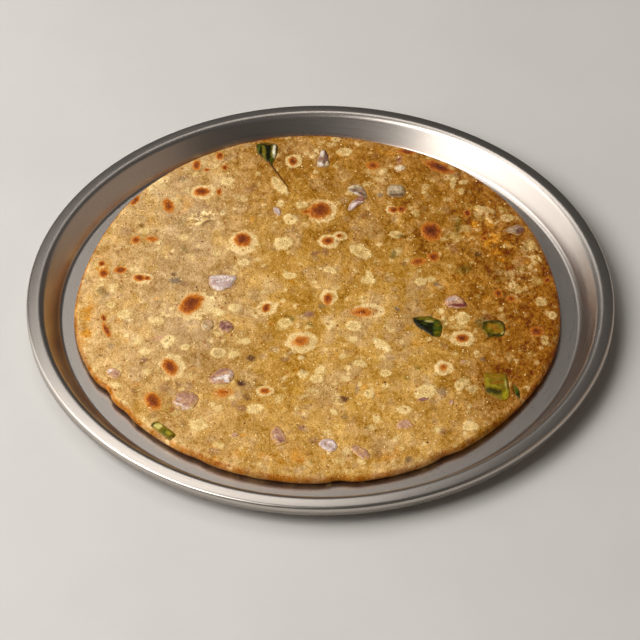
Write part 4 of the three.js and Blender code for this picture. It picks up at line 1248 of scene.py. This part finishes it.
def dough_relief(x, y, fields, from_edge):
    """Height of the dough over its swells: grain, lentils, blisters and beds for what is set in."""
    relief = FINE_RELIEF * ripple(x, y, 2.2, 1.0) + BROAD_RELIEF * ripple(x, y, 7.0, 2.0)
    relief += CRUMB_RELIEF * np.clip(0.5 - cells(x, y, 1.9, 4.0), 0, 1)
    relief += PALE_RELIEF * fields["pale"]
    for cx, cy, length, width, turn, _, shift_x, shift_y, ring_length, ring_width, rise in BLISTERS:
        size = (max(length * 1.2, ring_length), max(width * 1.2, ring_width))
        reach = oval(x, y, cx + shift_x / 2, cy + shift_y / 2, *size, turn)
        relief += rise * BUBBLE_SHARE * smooth(1.05, 0.2, reach)
    for kind, _, corners, _ in TOPPINGS.values():
        bed = SOAKED_BED if kind == "soaked" else BED
        relief -= (bed + relief * 0.6) * smooth(1.08, 0.84, share_out(kind, corners, x, y))
    relief -= EDGE_DENTS * smooth(5, 0, from_edge) * np.clip(ripple(x, y, 3.5, 8.0) + 0.2, 0, 1)
    return relief


def make_topping(name, materials):
    kind, colour, corners, daubs = TOPPINGS[name]
    points, faces, tone = topping_mesh(kind, colour, corners, daubs, 1.0 + 7.0 * list(TOPPINGS).index(name))
    piece = mesh_object("set_" + name, points, faces, [materials[kind]])
    store(piece, "tone", tone)
    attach(piece, "root")
    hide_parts(name)


def topping_mesh(kind, colour, corners, daubs, seed):
    """A piece set into the dough, in rings from its root under the top to the middle of its face."""
    middle, edge = traced(kind, corners)
    sectors = len(edge)
    wave = np.array([noise.noise(Vector((a, b, seed))) for a, b in edge / 2.5])
    edge = middle + (edge - middle) * (1 + 0.05 * wave[:, None])
    shares = [ROOT_SHARE] + [1 - i / TOPPING_RINGS for i in range(TOPPING_RINGS)]
    flat = np.concatenate([middle + (edge - middle) * share for share in shares] + [middle[None]])
    share = np.append(np.repeat(shares, sectors), 0)
    x, y = flat[:, 0], flat[:, 1]
    height = face_height(kind, share, x, y, seed)
    height[:sectors] = -TOPPING_SUNK
    points = np.stack([x, y, bread_top(x, y) + height], 1)
    root = np.array([[*middle, float(bread_top(*middle)) - TOPPING_SUNK]])
    tone = painted(kind, colour, daubs, share, x, y, seed)
    faces = ring_faces([sectors] * len(shares))
    return np.concatenate([root, points]), faces, np.concatenate([tone[:1], tone])


def face_height(kind, share, x, y, seed):
    """Height of a piece's face over the flatbread's top: its rim lies just under the dough."""
    if kind == "ring":
        rise, hollow, sunk, roughness = RING_FACE
        face = rise * smooth(1.0, 0.86, share) - hollow * smooth(0.8, 0.55, share)
    else:
        rise, lumpy, sunk, roughness = FACES[kind]
        lumps = ripple(x, y, 3.0, seed + 3, 2)
        face = (rise + lumpy * lumps) * smooth(1.0, 0.72, share)
    return face - sunk + roughness * ripple(x, y, 1.3, seed)


def painted(kind, colour, daubs, share, x, y, seed):
    """A piece's colours: its own, with daubs over it, run into the dough round it at the rim."""
    wobble = ripple(x, y, 1.8, seed + 6)
    tone = np.tile(linear(colour), (len(x), 1))
    for cx, cy, length, width, turn, name, strength in daubs:
        reach = oval(x, y, cx, cy, length, width, turn) + 0.4 * wobble
        tone = blend_colour(tone, linear(name), strength * smooth(1.25, 0.55, reach))
    zero = np.zeros(len(x))
    under = dough_fields(x, y, wobble, zero + 50, zero)["tone"]
    start, waver, most = RUN_INTO_DOUGH.get(kind, RUN_OF_OTHERS)
    return blend_colour(tone, under, most * smooth(start, 1.04, share + waver * wobble))


def blob_corners(cx, cy, length, width, turn, seed):
    """Corners of an uneven oval."""
    angle = np.arange(SCRAP_CORNERS) * 2 * math.pi / SCRAP_CORNERS
    reach = np.array([1 + 0.35 * noise.noise(Vector((math.cos(a), math.sin(a), seed))) for a in angle])
    along, across = length / 2 * reach * np.cos(angle), width / 2 * reach * np.sin(angle)
    c, s = math.cos(math.radians(turn)), math.sin(math.radians(turn))
    return np.stack([cx + along * c - across * s, cy + along * s + across * c], 1)


def make_onion_scraps(material):
    points, faces, tones = [], [], []
    start = 0
    for i, (cx, cy, length, width, turn, colour) in enumerate(ONION_SCRAPS):
        seed = SCRAP_SEED + 3 * i
        corners = blob_corners(cx, cy, length, width, turn, seed + 0.3)
        part = topping_mesh("soaked", colour, corners, (), seed)
        points.append(part[0])
        faces += [tuple(v + start for v in face) for face in part[1]]
        tones.append(part[2])
        start += len(part[0])
    piece = mesh_object("onion_scraps", np.concatenate(points), faces, [material])
    store(piece, "tone", np.concatenate(tones))
    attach(piece, "root")


def make_stalk(material):
    """A thin stalk that lies half sunk in the dough, and thins out from the leaf to its tip."""
    steps, sides = STALK_STEPS, STALK_SIDES
    anchors = np.array(STALK)
    at = np.linspace(0, len(anchors) - 1, steps)
    x, y = (np.interp(at, range(len(anchors)), anchors[:, k]) for k in (0, 1))
    x, y = (np.convolve(np.pad(v, 3, "edge"), np.ones(7) / 7, "valid") for v in (x, y))
    heading = np.arctan2(np.gradient(y), np.gradient(x))
    radius = np.linspace(*STALK_RADII, steps)
    rows = []
    for turn in np.arange(sides) * 2 * math.pi / sides:
        across, rise = radius * math.cos(turn), radius * math.sin(turn)
        place = (x - np.sin(heading) * across, y + np.cos(heading) * across, bread_top(x, y) + rise)
        rows.append(np.stack(place, 1))
    points = np.stack(rows, 1).reshape(-1, 3)
    faces = []
    for start in range(0, (steps - 1) * sides, sides):
        for k in range(sides):
            after = (k + 1) % sides
            faces.append((start + k, start + after, start + sides + after, start + sides + k))
    faces += [tuple(reversed(range(sides))), tuple(range((steps - 1) * sides, steps * sides))]
    stalk = mesh_object("leaf_stalk", points, faces, [material])
    store(stalk, "tone", np.tile(linear("pit"), (len(points), 1)))
    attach(stalk, "root")


def strew(name, bread, recipe, room):
    """Grains of one kind over the flatbread's top, as one plain mesh."""
    apart, smallest, largest, density, shape, seed, look = STREWN[name]
    piece = bpy.data.objects.new(name, bread.data.copy())
    bpy.context.scene.collection.objects.link(piece)
    store(piece, "room", room)
    recipe.use(
        piece, Spacing=apart * MM, Density=density, Smallest=smallest * MM, Largest=largest * MM,
        Shape=shape, Facets=GRAIN_FACETS, Seed=seed, Material=crumb_material(*look),
    )
    settle(piece)
    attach(piece, "root")


def open_dough(points, top, fields):
    """Where loose grains may lie: on the top, clear of the edge, the char and what is set in."""
    x, y = points[:, 0], points[:, 1]
    _, from_edge = to_edge(x, y)
    room = top * smooth(2.2, 4.0, from_edge) * (1 - smooth(0.1, 0.4, fields["char"]))
    room = room * (1 - 0.8 * fields["oiled"])
    for kind, _, corners, _ in TOPPINGS.values():
        room = room * smooth(1.0, 1.2, share_out(kind, corners, x, y))
    return room


# Camera, light and floor


def add_camera():
    """A long lens at the photo's angle. The aim is across, down and away from the rim's middle."""
    elevation, roll = math.radians(CAMERA_ELEVATION), math.radians(CAMERA_ROLL)
    forward = Vector((0, math.cos(elevation), -math.sin(elevation)))
    flat_right, flat_down = Vector((1, 0, 0)), Vector((0, -math.sin(elevation), -math.cos(elevation)))
    right = math.cos(roll) * flat_right + math.sin(roll) * flat_down
    down = math.cos(roll) * flat_down - math.sin(roll) * flat_right
    across, below, away = CAMERA_AIM
    place = Vector((0, 0, RIM_TOP)) - (across * right + below * down + away * forward)
    camera = bpy.data.objects.new("camera", bpy.data.cameras.new("camera"))
    camera.data.sensor_width = SENSOR_WIDTH
    camera.data.lens = SENSOR_WIDTH * CAMERA_FOCUS
    facing = Matrix((right, -down, -forward)).transposed().to_4x4()
    camera.matrix_world = Matrix.Translation(place * MM) @ facing
    bpy.context.scene.collection.objects.link(camera)
    bpy.context.scene.camera = camera


def add_softbox(name, place, size, power, colour):
    """A rectangular area light, in metres and watts, that faces the middle of the plate."""
    light = bpy.data.lights.new(name, "AREA")
    light.shape = "RECTANGLE"
    light.size, light.size_y = size
    light.energy = power
    light.color = linear(colour)[:3]
    lamp = bpy.data.objects.new(name, light)
    lamp.location = place
    lamp.rotation_euler = (-Vector(place)).to_track_quat("-Z", "Y").to_euler()
    bpy.context.scene.collection.objects.link(lamp)


def add_floor():
    s = Surface("studio_floor")
    clouds = s.span(s.noise(FLOOR_CLOUDS), 0.3, 0.7, 0.0, 0.12)
    tint = s.mix(clouds, linear("floor"), FLOOR_SHADE)
    material = s.finish(Base_Color=tint, Roughness=0.85)
    half, z = FLOOR_HALF, -FLOOR_GAP
    corners = [(-half, -half, z), (half, -half, z), (half, half, z), (-half, half, z)]
    floor = mesh_object("studio_floor", corners, [(0, 1, 2, 3)], [material], smooth_faces=False)


def add_world():
    world = bpy.data.worlds.new("studio")
    world.use_nodes = True
    background = world.node_tree.nodes["Background"]
    background.inputs["Color"].default_value = WORLD_COLOUR
    background.inputs["Strength"].default_value = WORLD_STRENGTH
    bpy.context.scene.world = world


add_camera()
add_world()
add_floor()
for softbox, values in SOFTBOXES.items():
    add_softbox(softbox, *values)
bpy.context.scene.view_settings.view_transform = "Standard"

dough = bread_material()
onion = topping_material("onion_flesh", 0.95, 1.7, 0.28, 0.3)
leaf = topping_material("cooked_leaf", 1.7, 1.3, 0.24, 0.12)
chilli = topping_material("cooked_chilli", 1.6, 1.2, 0.26, 0.14)
topping_materials = {"onion": onion, "soaked": onion, "leaf": leaf, "ring": chilli, "chunk": chilli}

make_plate(steel_material())
bread, skin, on_top, dough_marks = make_bread(dough)
for topping in TOPPINGS:
    make_topping(topping, topping_materials)
make_onion_scraps(onion)
make_stalk(leaf)

grains = scatter_recipe()
open_room = open_dough(skin, on_top, dough_marks)
for kind_of_grain in STREWN:
    strew(kind_of_grain, bread, grains, open_room)
